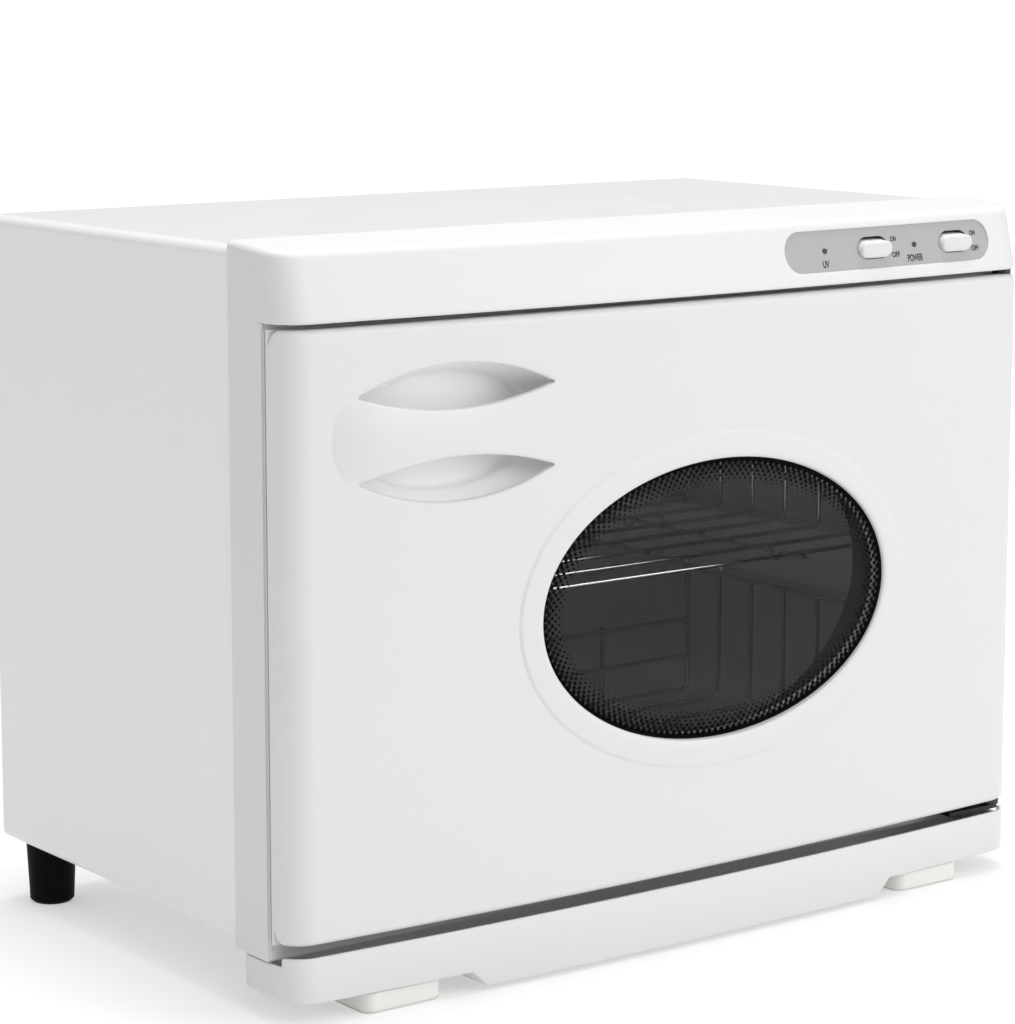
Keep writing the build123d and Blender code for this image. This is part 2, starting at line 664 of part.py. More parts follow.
def rack(base_z):
    """Welded wire basket: long wires with raised ends, side rails, cross wires, rear fence."""
    half, first_y, last_y = RACK_HALF, RACK_FIRST_Y, RACK_LAST_Y
    pitch = (last_y - first_y) / (RACK_WIRES - 1)
    top_z = base_z + RACK_SIDE_RISE
    sink = RACK_WIRE - WELD
    parts = []
    for index in range(RACK_WIRES):
        y = first_y + index * pitch
        ends = [(-half, y, top_z), (-half, y, base_z), (half, y, base_z), (half, y, top_z)]
        parts.append(wire(ends))
    for side in (-1, 1):
        x = side * half
        parts.append(wire([(x, first_y - RACK_WIRE, top_z), (x, last_y + RACK_WIRE, top_z)]))
    fence_y = last_y + sink
    cross_z = base_z - sink
    fence_top = base_z + max(RACK_FENCE_RISES) + RACK_WIRE
    for index, share in enumerate(RACK_CROSS_SHARES):
        x = (2 * share - 1) * half
        route = [(x, first_y - RACK_WIRE, cross_z)]
        if index in (0, len(RACK_CROSS_SHARES) - 1):
            for dip_y in (first_y + 0.75 * pitch, last_y - 0.75 * pitch):
                route += [
                    (x, dip_y - RACK_DIP, cross_z),
                    (x, dip_y, cross_z - RACK_DIP),
                    (x, dip_y + RACK_DIP, cross_z),
                ]
        route += [(x, fence_y, cross_z), (x, fence_y, fence_top)]
        parts.append(wire(route))
    for rise in RACK_FENCE_RISES:
        y = fence_y - sink
        z = base_z + rise
        parts.append(wire([(-half, y, z), (half, y, z)]))
    return parts[0].fuse(*parts[1:])


def rack_support(side):
    """Folded aluminium channel on the chamber's side wall; the upper rack's ends sit on it."""
    wall_x = side * CHAMBER_HALF
    tip_x = wall_x - side * SUPPORT_REACH
    low = SUPPORT_Z - SUPPORT_HEIGHT
    front_y, back_y = FACE_Y + SUPPORT_SETBACK, CHAMBER_BACK_Y - LINER
    left, right = sorted((wall_x, tip_x))
    outer = block((left, front_y, low), (right, back_y, SUPPORT_Z))
    bends = outer.edges().filter_by(Axis.Y).sort_by(lambda e: abs(e.center().X))[:2]
    outer = fillet(bends, SUPPORT_BEND)
    inner_left, inner_right = sorted((wall_x + side * LINER, tip_x + side * LINER))
    inner = block(
        (inner_left, front_y - 1, low + LINER), (inner_right, back_y + 1, SUPPORT_Z - LINER)
    )
    return outer - inner


# ---- Ultraviolet lamp ----
def lamp_centre():
    """Depth and height of the lamp's axis."""
    return CHAMBER_BACK_Y - LAMP_REAR, CHAMBER_CEILING - LAMP_DROP


def uv_lamp():
    """Glass tube with a metal cap at each end."""
    y, z = lamp_centre()
    half = CHAMBER_HALF - LAMP_SIDE
    tube = rod(LAMP_DIAMETER - 1, (-half, y, z), (half, y, z))
    for side in (-1, 1):
        tube += rod(LAMP_DIAMETER, (side * (half - LAMP_CAP), y, z), (side * half, y, z))
    return tube


def lamp_holders():
    """Plastic holders that hang from the ceiling and take the lamp's caps."""
    y, z = lamp_centre()
    holders = []
    for side in (-1, 1):
        inner = side * (CHAMBER_HALF - LAMP_SIDE)
        outer = inner + side * HOLDER_THICKNESS
        left, right = sorted((inner, outer))
        low_z = z - HOLDER_WIDTH / 2
        holder = block((left, y - HOLDER_WIDTH / 2, low_z), (right, y + HOLDER_WIDTH / 2, CHAMBER_CEILING))
        lowest = holder.edges().filter_by(Axis.X).group_by(Axis.Z)[0]
        holders.append(fillet(lowest, HOLDER_WIDTH / 2 - 1))
    return Compound(children=holders)


def lamp_guard():
    """Bent wire guard around the lamp, welded to one long wire, with its ends on the ceiling."""
    y, z = lamp_centre()
    reach = LAMP_DIAMETER / 2 + GUARD_GAP
    low_z = z - reach
    parts = []
    span = 2 * (CHAMBER_HALF - LAMP_SIDE - GUARD_END)
    for index in range(GUARD_BARS):
        x = -span / 2 + index * span / (GUARD_BARS - 1)
        route = [
            (x, y - reach, CHAMBER_CEILING), (x, y - reach, low_z),
            (x, y + reach, low_z), (x, y + reach, CHAMBER_CEILING),
        ]
        parts.append(wire(route, GUARD_WIRE))
    bar_z = low_z - GUARD_WIRE + WELD
    end_x = span / 2 + GUARD_BAR_END
    parts.append(wire([(-end_x, y, bar_z), (end_x, y, bar_z)], GUARD_WIRE))
    return parts[0].fuse(*parts[1:])


def uv_ballast():
    """Lamp's control gear, on the slab above the chamber."""
    low = CHAMBER_CEILING + LINER + INSULATION
    y = REAR_Y - CASING_DEPTH / 3
    box = block(
        (BALLAST_X - BALLAST_WIDTH / 2, y - BALLAST_DEPTH / 2, low),
        (BALLAST_X + BALLAST_WIDTH / 2, y + BALLAST_DEPTH / 2, low + BALLAST_HEIGHT),
    )
    return fillet(box.edges().group_by(Axis.Z)[-1], BALLAST_EDGE)


def power_inlet():
    """Three-pin appliance inlet in the back panel."""
    x, z = INLET_X, INLET_Z
    end_y = BACK_PANEL_Y - INLET_DEPTH
    body = upright(Pos(x, z) * Rectangle(INLET_WIDTH, INLET_HEIGHT), end_y, BACK_PANEL_Y)
    flange = RectangleRounded(INLET_FLANGE_WIDTH, INLET_FLANGE_HEIGHT, INLET_CORNER)
    flange = Pos(x, z) * flange
    inlet = body + upright(flange, BACK_PANEL_Y, REAR_Y)
    width, height = INLET_WIDTH - 2 * INLET_WALL, INLET_HEIGHT - 2 * INLET_WALL
    socket = Pos(x, z) * Rectangle(width, height)
    floor_y = end_y + INLET_FLOOR
    inlet -= upright(socket, floor_y, REAR_Y + 1)
    shift = INLET_PIN_HEIGHT / 2
    for dx, dz in ((-INLET_PIN_PITCH, -shift), (0, shift), (INLET_PIN_PITCH, -shift)):
        pin = Pos(x + dx, z + dz) * Rectangle(INLET_PIN_WIDTH, INLET_PIN_HEIGHT)
        inlet += upright(pin, end_y, REAR_Y - INLET_PIN_SETBACK)
    return inlet


# ---- Drip tray ----
def tray_section(inset):
    """Outline of the tray in X and Z: shallow ends and a deeper well with sloping sides."""
    half = HALF - inset
    top = BASE_Z + TRAY_LIP + 2 * inset
    end_z, well_z = BASE_Z + TRAY_END + inset, BASE_Z + TRAY_WELL + inset
    slope = TRAY_END - TRAY_WELL
    shift = inset * tan(radians(22.5))
    left, right = TRAY_WELL_LEFT - HALF + shift, HALF - TRAY_WELL_RIGHT - shift
    outline = make_face(
        Polyline(
            (-half, top), (-half, end_z), (left - slope, end_z), (left, well_z),
            (right, well_z), (right + slope, end_z), (half, end_z), (half, top), close=True,
        )
    )
    corners = [v for v in outline.vertices() if abs(abs(v.X) - half) < 0.01 and v.Y < top - 0.01]
    return fillet(corners, TRAY_CORNER - inset)


def drip_tray():
    """Moulded trough with a raised front lip; its sides pass under the frame."""
    low, high = BASE_Z + 2 * TRAY_WELL, BASE_Z + FOOT_HEIGHT
    back_y = SEAM_Y - TRAY_BACK
    front_y = SIDE_FRONT_Y - 2 * BOW
    outer = extrude(Pos(0, 0, low) * bowed_plan(back_y), high - low)
    outer &= upright(tray_section(0), front_y, SEAM_Y)
    inner = extrude(Pos(0, 0, low) * bowed_plan(back_y - TRAY_WALL, TRAY_WALL), high - low)
    inner &= upright(tray_section(TRAY_WALL), front_y, SEAM_Y)
    tray = outer - inner
    step_y = FACE_Y - TRAY_STEP
    side_z = BASE_Z + TRAY_SIDE
    return tray - block((-WIDTH, step_y, side_z), (WIDTH, SEAM_Y, high))


# ---- Door ----
def pocket(sign):
    """Lens-shaped opening above (+1) or below (-1) the grip."""
    left = (-POCKET_HALF_WIDTH, sign * GRIP_HALF_END)
    right = (POCKET_HALF_WIDTH, sign * GRIP_HALF_END)
    outer = ThreePointArc(left, (0, sign * POCKET_HALF_HEIGHT), right)
    inner = ThreePointArc(left, (0, sign * GRIP_HALF_WAIST), right)
    return Pos(HANDLE_X, HANDLE_Z) * make_face(Wire([*outer.edges(), *inner.edges()]))


def hinge_blocks():
    """Solid corners of the door that take the bushes."""
    left = PIN_X - HINGE_BLOCK / 2 - DOOR_WALL
    height = PIN_DEPTH + 2 * DOOR_WALL
    spans = ((DOOR_BOTTOM, DOOR_BOTTOM + height), (DOOR_TOP - height, DOOR_TOP))
    return [block((left, SIDE_FRONT_Y - BOW, low), (HALF, SEAM_Y, high)) for low, high in spans]


def door_cavity():
    """Space inside the door, clear of the hinge blocks and of the window's boss."""
    low, high = DOOR_BOTTOM + DOOR_WALL, DOOR_TOP - DOOR_WALL
    cavity = extrude(Pos(0, 0, low) * bowed_plan(SHELL_BACK_Y, DOOR_WALL), high - low)
    cavity -= upright(window_oval(RING_WIDTH - RING_LIP), RIDGE_Y, RETAINER_Y)
    for solid_corner in hinge_blocks():
        cavity -= solid_corner
    return cavity


def swing_relief():
    """What the door's back corner gives up so that it turns past the frame."""
    corner = block((PIN_X, PIN_Y, BASE_Z), (PIN_X + 2 * SWING_RADIUS, SEAM_Y, CASING_TOP))
    return corner - Pos(PIN_X, PIN_Y, BASE_Z + CASING_HEIGHT / 2) * Cylinder(SWING_RADIUS, CASING_HEIGHT)


def grip_bulge():
    """Soft swelling of the door's face that becomes the grip between the pockets."""
    slope = degrees(atan2(HANDLE_X, BOW_RADIUS))
    long_radius = (BULGE_HALF_WIDTH**2 + BULGE_RISE**2) / (2 * BULGE_RISE)
    short_radius = (BULGE_HALF_HEIGHT**2 + BULGE_RISE**2) / (2 * BULGE_RISE)
    dome = Pos(0, long_radius - BULGE_RISE, 0) * Torus(long_radius - short_radius, short_radius)
    depth = BULGE_RISE + DOOR_WALL / 2
    reach = Pos(0, DOOR_WALL / 2 - depth / 2, 0) * Box(3 * BULGE_HALF_WIDTH, depth, 3 * BULGE_HALF_HEIGHT)
    return Pos(HANDLE_X, bow_y(HANDLE_X), HANDLE_Z) * Rot(0, 0, slope) * (dome & reach)


def window_ring():
    """Raised oval ring around the glass, highest near its inner edge."""
    crease = bow_y(WINDOW_X + WINDOW_HALF_WIDTH + RING_WIDTH)
    middle = bow_y(WINDOW_X)
    run = RING_WIDTH - RING_LIP
    depth = 1.5 * DOOR_WALL
    side_slope = run / (crease - RIDGE_Y)
    top_slope = run / (middle - RIDGE_Y)
    ridge = (WINDOW_HALF_WIDTH + RING_LIP, WINDOW_HALF_HEIGHT + RING_LIP, RIDGE_Y)
    foot = (
        ridge[0] + side_slope * (crease + depth - RIDGE_Y),
        ridge[1] + top_slope * (crease + depth - RIDGE_Y),
        crease + depth,
    )
    return oval_loft(WINDOW_X, WINDOW_Z, ridge, foot)


def door_shell():
    """Outer moulding of the door: bowed face, bulged grip, pockets and window opening."""
    height = DOOR_TOP - DOOR_BOTTOM
    body = extrude(Pos(0, 0, DOOR_BOTTOM) * bowed_plan(SHELL_BACK_Y), height)
    rims = body.edges().group_by(Axis.Z)
    rims = [e for e in rims[0] + rims[-1] if e.center().Y < SHELL_BACK_Y - 0.1]
    body = fillet(rims, DOOR_EDGE)
    front = body + window_ring() + grip_bulge()
    front &= block((-HALF, RIDGE_Y, DOOR_BOTTOM), (HALF, SHELL_BACK_Y, DOOR_TOP))
    shell = front - door_cavity()
    shell -= upright(window_oval(0), RIDGE_Y - 1, SHELL_BACK_Y)
    shell -= upright(window_oval(GLASS_HOLD + GLASS_GAP), GLASS_Y, SHELL_BACK_Y)
    for sign in (-1, 1):
        shell -= upright(pocket(sign), RIDGE_Y - 1, SHELL_BACK_Y)
    shell -= swing_relief()
    for low, high in bush_spans():
        shell -= rod(BUSH_DIAMETER, (PIN_X, PIN_Y, low), (PIN_X, PIN_Y, high))
    return shell


def bush_spans():
    """Bottom and top of each bush's sleeve inside the door."""
    return (DOOR_BOTTOM, DOOR_BOTTOM + PIN_DEPTH + 1), (DOOR_TOP - PIN_DEPTH - 1, DOOR_TOP)


def cup_body(grow, depth):
    """Round-cornered body whose top and bottom lean in, from the door's face to a depth."""
    face_y = bow_y(HANDLE_X)
    half_width, half_height = CUP_HALF_WIDTH + grow, CUP_HALF_HEIGHT + grow
    outline = Pos(HANDLE_X, HANDLE_Z) * RectangleRounded(2 * half_width, 2 * half_height, CUP_CORNER)
    draft = depth * tan(radians(CUP_DRAFT))
    leaning = [
        (face_y, HANDLE_Z - half_height), (face_y, HANDLE_Z + half_height),
        (face_y + depth, HANDLE_Z + half_height - draft),
        (face_y + depth, HANDLE_Z - half_height + draft),
    ]
    left, right = HANDLE_X - 2 * half_width, HANDLE_X + 2 * half_width
    return upright(outline, face_y, face_y + depth) & side_profile(leaning, left, right)


def handle_cup():
    """Scooped cup behind the pockets, held against the back of the door's face."""
    low, high = DOOR_BOTTOM + DOOR_WALL, DOOR_TOP - DOOR_WALL
    behind = extrude(Pos(0, 0, low) * bowed_plan(SEAM_Y, DOOR_WALL), high - low)
    return (cup_body(CUP_WALL, CUP_DEPTH + CUP_WALL) - cup_body(0, CUP_DEPTH)) & behind


def plug_outline(shrink):
    """Outline of the part of the door that enters the chamber."""
    return chamber_outline(-PLUG_GAP - shrink)


def door_inner_panel():
    """Inner moulding: a thin rim over the door's back and a shallow plug into the chamber."""
    low, high = DOOR_BOTTOM, DOOR_TOP
    rim = extrude(Pos(0, 0, low) * bowed_plan(DOOR_BACK_Y), high - low)
    rim &= block((-HALF, SHELL_BACK_Y, low), (HALF, DOOR_BACK_Y, high))
    plug = upright(plug_outline(0), SHELL_BACK_Y, PLUG_Y)
    plug = chamfer(plug.edges().group_by(Axis.Y)[-1], PLUG_EDGE)
    hollow = upright(plug_outline(PANEL_WALL), SHELL_BACK_Y - 1, PLUG_Y - PANEL_WALL)
    panel = rim + plug - hollow
    collar_out = upright(window_oval(GLASS_HOLD), RETAINER_Y + RETAINER_THICKNESS, PLUG_Y - COLLAR_SETBACK)
    collar_in = upright(window_oval(GLASS_HOLD - PANEL_WALL), RIDGE_Y, PLUG_Y + 1)
    panel = panel + collar_out - collar_in
    panel -= swing_relief()
    for low, high in bush_spans():
        panel -= rod(BUSH_DIAMETER, (PIN_X, PIN_Y, low), (PIN_X, PIN_Y, high))
    return panel


def window_glass():
    """Tinted oval pane, seated in the rebate behind the ring."""
    return upright(window_oval(GLASS_HOLD), GLASS_Y, RETAINER_Y)


def window_retainer():
    """Ring that clamps the pane into the door's rebate."""
    outline = window_oval(RING_WIDTH - RING_LIP) - window_oval(0)
    return upright(outline, RETAINER_Y, RETAINER_Y + RETAINER_THICKNESS)


def door_gasket():
    """Soft seal around the plug, which closes against the frame's face."""
    inner = chamber_outline(1.0)
    outer = chamber_outline(1.0 + GASKET_WIDTH)
    return upright(outer - inner, DOOR_BACK_Y, FACE_Y - GASKET_GAP)


# ---- Hinge and catch ----
def arm_neck_left():
    """Left side of the hinge brackets' necks."""
    return PIN_X + ARM_END - ARM_NECK


def hinge_arm(bottom_z, length, grow=0.0):
    """Flat arm that carries a pin, rounded around it, larger all round by grow."""
    low, high = bottom_z - grow, bottom_z + ARM_THICKNESS + grow
    right = PIN_X + ARM_END + grow
    back_y = FACE_Y - ARM_STANDOFF
    arm = block((right - length, PIN_Y - ARM_END - grow, low), (PIN_X, back_y, high))
    arm += block((PIN_X, PIN_Y, low), (right, back_y, high))
    arm += Pos(PIN_X, PIN_Y, (low + high) / 2) * Cylinder(ARM_END + grow, high - low)
    return arm


def hinge_bracket(bottom_z, length, leg_sign):
    """Steel bracket: an arm for the pin, a neck through the frame and a leg behind its face."""
    neck = arm_neck_left()
    top_z = bottom_z + ARM_THICKNESS
    leg_y = FACE_Y + FRAME_FACE
    arm = hinge_arm(bottom_z, length)
    arm += block((neck, PIN_Y, bottom_z), (neck + ARM_NECK, leg_y + ARM_THICKNESS, top_z))
    leg_low, leg_high = sorted((bottom_z, bottom_z + leg_sign * LEG_HEIGHT))
    arm += block((neck, leg_y, leg_low), (neck + ARM_NECK, leg_y + ARM_THICKNESS, max(leg_high, top_z)))
    return arm - Pos(PIN_X, PIN_Y, bottom_z) * Cylinder(PIN_DIAMETER / 2, 4 * ARM_THICKNESS)


def hinge_pin_lower():
    """Pin riveted into the lower bracket."""
    return rod(PIN_DIAMETER, (PIN_X, PIN_Y, ARM_BOTTOM), (PIN_X, PIN_Y, DOOR_BOTTOM + PIN_DEPTH))


def hinge_pin_upper():
    """Pin pressed into the upper bracket, down through the hood's floor into the door."""
    top_z = UPPER_ARM_BOTTOM + ARM_THICKNESS
    return rod(PIN_DIAMETER, (PIN_X, PIN_Y, DOOR_TOP - PIN_DEPTH), (PIN_X, PIN_Y, top_z))


def hinge_ring(low, high, outer, bore):
    """Ring around the hinge axis."""
    washer = rod(outer, (PIN_X, PIN_Y, low), (PIN_X, PIN_Y, high))
    return washer - rod(bore, (PIN_X, PIN_Y, low - 1), (PIN_X, PIN_Y, high + 1))


def hinge_bushes():
    """Flanged plastic bushes in the door's corners; the flanges run on the bracket and hood."""
    bore = PIN_DIAMETER + 2 * PIN_RUNNING
    (low, low_end), (high_start, high) = bush_spans()
    lower = hinge_ring(low, low_end, BUSH_DIAMETER, bore)
    lower += hinge_ring(ARM_BOTTOM + ARM_THICKNESS + BUSH_PLAY, low, BUSH_FLANGE, bore)
    upper = hinge_ring(high_start, high, BUSH_DIAMETER, bore)
    upper += hinge_ring(high, HOOD_BOTTOM - BUSH_PLAY, BUSH_FLANGE, bore)
    return Compound(children=[lower, upper])


def magnet_left():
    """Left side of the catch, outside the gasket."""
    return -(CHAMBER_HALF + 1.0 + GASKET_WIDTH + 1.5 + MAGNET_WIDTH)


def magnet_span():
    """Bottom and top of the catch."""
    middle = (DOOR_BOTTOM + DOOR_TOP) / 2
    return middle - MAGNET_HEIGHT / 2, middle + MAGNET_HEIGHT / 2


def door_magnet():
    """Magnet block set into the frame's face at the handle side."""
    low, high = magnet_span()
    left = magnet_left()
    return block((left, FACE_Y, low), (left + MAGNET_WIDTH, FACE_Y + MAGNET_DEPTH, high))


def striker_plate():
    """Steel strip on the door's back that meets the magnet."""
    low, high = magnet_span()
    left = magnet_left()
    return block((left, DOOR_BACK_Y, low), (left + MAGNET_WIDTH, DOOR_BACK_Y + STRIKER_THICKNESS, high))


PARTS = {
    "outer_casing": outer_casing(),
    "bottom_panel": bottom_panel(),
    "back_panel": back_panel(),
    "rear_feet": rear_feet(),
    "front_foot_left": front_foot(-1),
    "front_foot_right": front_foot(1),
    "front_frame": front_frame(),
    "control_plate": control_plate(),
    "uv_switch_housing": switch_housing(UV_SWITCH_X),
    "power_switch_housing": switch_housing(POWER_SWITCH_X),
    "uv_switch_rocker": switch_rocker(UV_SWITCH_X),
    "power_switch_rocker": switch_rocker(POWER_SWITCH_X),
    "indicator_lenses": indicator_lenses(),
    "inner_chamber": inner_chamber(),
    **insulation(),
    "heater_mat": heater_space(),
    "thermostat": thermostat(),
    "thermal_fuse": thermal_fuse(),
    "upper_rack": rack(UPPER_RACK_Z),
    "lower_rack": rack(LOWER_RACK_Z),
    "rack_support_left": rack_support(-1),
    "rack_support_right": rack_support(1),
    "uv_lamp": uv_lamp(),
    "lamp_holders": lamp_holders(),
    "lamp_guard": lamp_guard(),
    "uv_ballast": uv_ballast(),
    "power_inlet": power_inlet(),
    "drip_tray": drip_tray(),
    "door_shell": door_shell(),
    "handle_cup": handle_cup(),
    "door_inner_panel": door_inner_panel(),
    "window_glass": window_glass(),
    "window_retainer": window_retainer(),
    "door_gasket": door_gasket(),
    "hinge_bracket_lower": hinge_bracket(ARM_BOTTOM, LOWER_ARM_LENGTH, 1),
    "hinge_bracket_upper": hinge_bracket(UPPER_ARM_BOTTOM, UPPER_ARM_LENGTH, -1),
    "hinge_pin_lower": hinge_pin_lower(),
    "hinge_pin_upper": hinge_pin_upper(),
    "hinge_bushes": hinge_bushes(),
    "door_magnet": door_magnet(),
    "striker_plate": striker_plate(),
}

os.makedirs("parts", exist_ok=True)
for name, shape in PARTS.items():
    export_step(shape, f"parts/{name}.step")
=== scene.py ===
import bpy
from math import acos, asin, atan2, cos, hypot, pi, radians, sin, sqrt, tan
from mathutils import Matrix, Vector, geometry


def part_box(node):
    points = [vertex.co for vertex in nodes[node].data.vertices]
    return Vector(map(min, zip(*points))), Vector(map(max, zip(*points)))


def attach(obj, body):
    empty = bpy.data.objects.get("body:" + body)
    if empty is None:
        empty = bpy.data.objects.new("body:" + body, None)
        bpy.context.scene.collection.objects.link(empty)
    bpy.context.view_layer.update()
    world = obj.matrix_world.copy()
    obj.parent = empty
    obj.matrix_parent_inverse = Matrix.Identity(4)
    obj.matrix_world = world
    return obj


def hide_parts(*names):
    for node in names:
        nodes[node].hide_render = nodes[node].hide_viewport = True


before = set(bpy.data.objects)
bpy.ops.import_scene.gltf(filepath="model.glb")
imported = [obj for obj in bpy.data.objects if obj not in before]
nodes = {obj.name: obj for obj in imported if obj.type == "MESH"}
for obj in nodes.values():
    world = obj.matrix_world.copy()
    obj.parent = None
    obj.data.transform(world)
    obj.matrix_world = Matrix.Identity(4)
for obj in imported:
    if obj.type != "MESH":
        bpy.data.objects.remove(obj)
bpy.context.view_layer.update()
MM = 0.001
bpy.ops.object.select_all(action="DESELECT")

# ---- Studio ----
# A plain pale floor under soft, even light: a broad window of light in front, weaker ones
# to the left and overhead, and a pale room all round, as for a catalogue picture.
bpy.context.scene.view_settings.view_transform = "Standard"
bpy.ops.mesh.primitive_plane_add(size=240.0, location=(0, 0, 0))
floor = bpy.context.object
floor.name = "floor"


class Tone:
    """One value or colour in a material's node tree; adding and multiplying make the nodes."""

    def __init__(self, finish, socket):
        self.finish, self.socket = finish, socket

    def joined(self, operation, other):
        return self.finish.node("ShaderNodeMath", {"operation": operation}, {0: self, 1: other})

    def __add__(self, other):
        return self.joined("ADD", other)

    def __mul__(self, other):
        return self.joined("MULTIPLY", other)

    __radd__, __rmul__ = __add__, __mul__


class Finish:
    """A material built from a Principled shader, with its pattern on Object coordinates."""

    def __init__(self, name, color, roughness, metallic=0.0, coat=0.0, alpha=1.0):
        self.material = bpy.data.materials.new(name)
        self.material.use_nodes = True
        self.tree = self.material.node_tree
        self.shader = next(n for n in self.tree.nodes if n.type == "BSDF_PRINCIPLED")
        self.place = self.node("ShaderNodeTexCoord", {}, {}, "Object")
        self.set("Base Color", (*color, 1.0))
        self.set("Roughness", roughness)
        self.set("Metallic", metallic)
        self.set("Coat Weight", coat)
        self.set("Alpha", alpha)

    def node(self, kind, settings, inputs, output=0):
        made = self.tree.nodes.new(kind)
        for key, value in settings.items():
            setattr(made, key, value)
        for key, value in inputs.items():
            if isinstance(value, Tone):
                self.tree.links.new(value.socket, made.inputs[key])
            else:
                made.inputs[key].default_value = value
        return Tone(self, made.outputs[output])

    def set(self, socket, value):
        if isinstance(value, Tone):
            self.tree.links.new(value.socket, self.shader.inputs[socket])
        else:
            self.shader.inputs[socket].default_value = value

    def grain(self, scale, detail=2.0, stretch=(1, 1, 1)):
        """Noise from 0 to 1, with about this many features to a metre."""
        at = self.node("ShaderNodeMapping", {}, {"Vector": self.place, "Scale": stretch})
        return self.node("ShaderNodeTexNoise", {}, {"Vector": at, "Scale": scale, "Detail": detail})

    def grey(self, level):
        """Colourless colour of this brightness."""
        return self.node("ShaderNodeCombineColor", {}, dict.fromkeys(range(3), level))

    def bump(self, height, depth_mm):
        """Surface relief this many millimetres deep."""
        sockets = {"Height": height, "Strength": 1.0, "Distance": depth_mm * MM}
        self.set("Normal", self.node("ShaderNodeBump", {}, sockets))


FLOOR_PALE, FLOOR_GLOW, FLOOR_FAR = 0.58, 0.36, 0.25
DIM_FRONT, DIM_FROM, DIM_TO = 0.6, -0.9, -0.3
FAR_FROM, FAR_TO = 0.8, 4.0
# The floor glows with painted light that fills the cabinet from below: full under, beside and
# behind it, dimmer in front of it, and rising again far behind.
paper = Finish("studio_floor", (FLOOR_PALE, FLOOR_PALE, FLOOR_PALE), 0.8)
depth = paper.node("ShaderNodeSeparateXYZ", {}, {"Vector": paper.place}, 1)
near = {"Value": depth, 1: DIM_FROM, 2: DIM_TO, 3: DIM_FRONT, 4: 1.0}
front_dimmed_glow = paper.node("ShaderNodeMapRange", {"interpolation_type": "SMOOTHSTEP"}, near)
beyond = {"Value": depth, 1: FAR_FROM, 2: FAR_TO, 3: 0.0, 4: FLOOR_FAR}
far = paper.node("ShaderNodeMapRange", {}, beyond)
paper.set("Roughness", 0.75 + 0.1 * paper.grain(3.0))
paper.set("Emission Color", paper.grey(front_dimmed_glow * FLOOR_GLOW + far))
paper.set("Emission Strength", 1.0)
floor.data.materials.append(paper.material)

camera_data = bpy.data.cameras.new("camera")
camera = bpy.data.objects.new("camera", camera_data)
bpy.context.scene.collection.objects.link(camera)
bpy.context.scene.camera = camera
CAMERA_AT, CAMERA_DOWN, CAMERA_TURN = (-0.98203, -1.29942, 0.46982), 8.738, -36.818
camera.location = CAMERA_AT
camera.rotation_euler = (radians(90 - CAMERA_DOWN), 0, radians(CAMERA_TURN))
camera_data.lens = 115.09
camera_data.sensor_width = 36.0
camera_data.shift_y = -0.05
camera_data.clip_start, camera_data.clip_end = 0.05, 300.0


def area_light(name, location, target, size, power):
    """A square soft light at a place, turned to a target."""
    data = bpy.data.lights.new(name, "AREA")
    data.shape, data.size, data.energy = "SQUARE", size, power
    light = bpy.data.objects.new(name, data)
    light.location = location
    aim = Vector(target) - Vector(location)
    light.rotation_euler = aim.to_track_quat("-Z", "Y").to_euler()
    bpy.context.scene.collection.objects.link(light)


area_light("front_light", (1.8, -2.3, 0.95), (0, 0, 0.15), 1.5, 31)
area_light("fill_light", (-0.4, -1.2, 1.2), (0, 0, 0.2), 0.8, 3.0)
area_light("top_light", (0.1, 0.1, 2.6), (0, 0, 0.2), 1.0, 30)
SKY_LOW, SKY_HIGH = 0.15, 1.08
world = bpy.data.worlds.new("studio")
bpy.context.scene.world = world
world.use_nodes = True
sky = world.node_tree
towards = sky.nodes.new("ShaderNodeTexCoord")
height = sky.nodes.new("ShaderNodeSeparateXYZ")
overhead = sky.nodes.new("ShaderNodeMapRange")
overhead.interpolation_type = "SMOOTHSTEP"
overhead.inputs["To Min"].default_value, overhead.inputs["To Max"].default_value = SKY_LOW, SKY_HIGH
sky.links.new(towards.outputs["Generated"], height.inputs["Vector"])
sky.links.new(height.outputs["Z"], overhead.inputs["Value"])
sky.links.new(overhead.outputs["Result"], sky.nodes["Background"].inputs["Strength"])
sky.nodes["Background"].inputs["Color"].default_value = (1, 1, 1, 1)


def dress(finish, *names):
    """Give CAD nodes one finish."""
    for name in names:
        mesh = nodes[name].data
        mesh.materials.clear()
        mesh.materials.append(finish.material)


def fit(piece, body, slot, finish, *replaced):
    """Give a new piece its finish, hang it on the body that it moves with, and hide the CAD nodes
    it stands for.
    """
    piece.data.materials.clear()
    piece.data.materials.append(finish.material)
    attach(piece, body)
    if replaced:
        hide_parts(*replaced)


def pick(piece):
    """Make a piece the active one and the only one selected."""
    bpy.ops.object.select_all(action="DESELECT")
    bpy.context.view_layer.objects.active = piece
    piece.select_set(True)


def settle(piece, name, smooth_angle=40.0):
    """Put a piece's place into its mesh, smooth it up to an angle, and name it."""
    pick(piece)
    bpy.ops.object.transform_apply()
    bpy.ops.object.shade_smooth_by_angle(angle=radians(smooth_angle))
    piece.select_set(False)
    piece.name = piece.data.name = name
    return piece


def apply_modifier(piece, kind, **settings):
    """Add one modifier with its settings, and apply it."""
    modifier = piece.modifiers.new(kind.lower(), kind)
    for key, value in settings.items():
        setattr(modifier, key, value)
    bpy.context.view_layer.objects.active = piece
    bpy.ops.object.modifier_apply(modifier=modifier.name)


def edit(on=True):
    """Turn edit mode on or off for the active piece."""
    bpy.ops.object.mode_set(mode="EDIT" if on else "OBJECT")


MERGE_REACH = 0.005 * MM


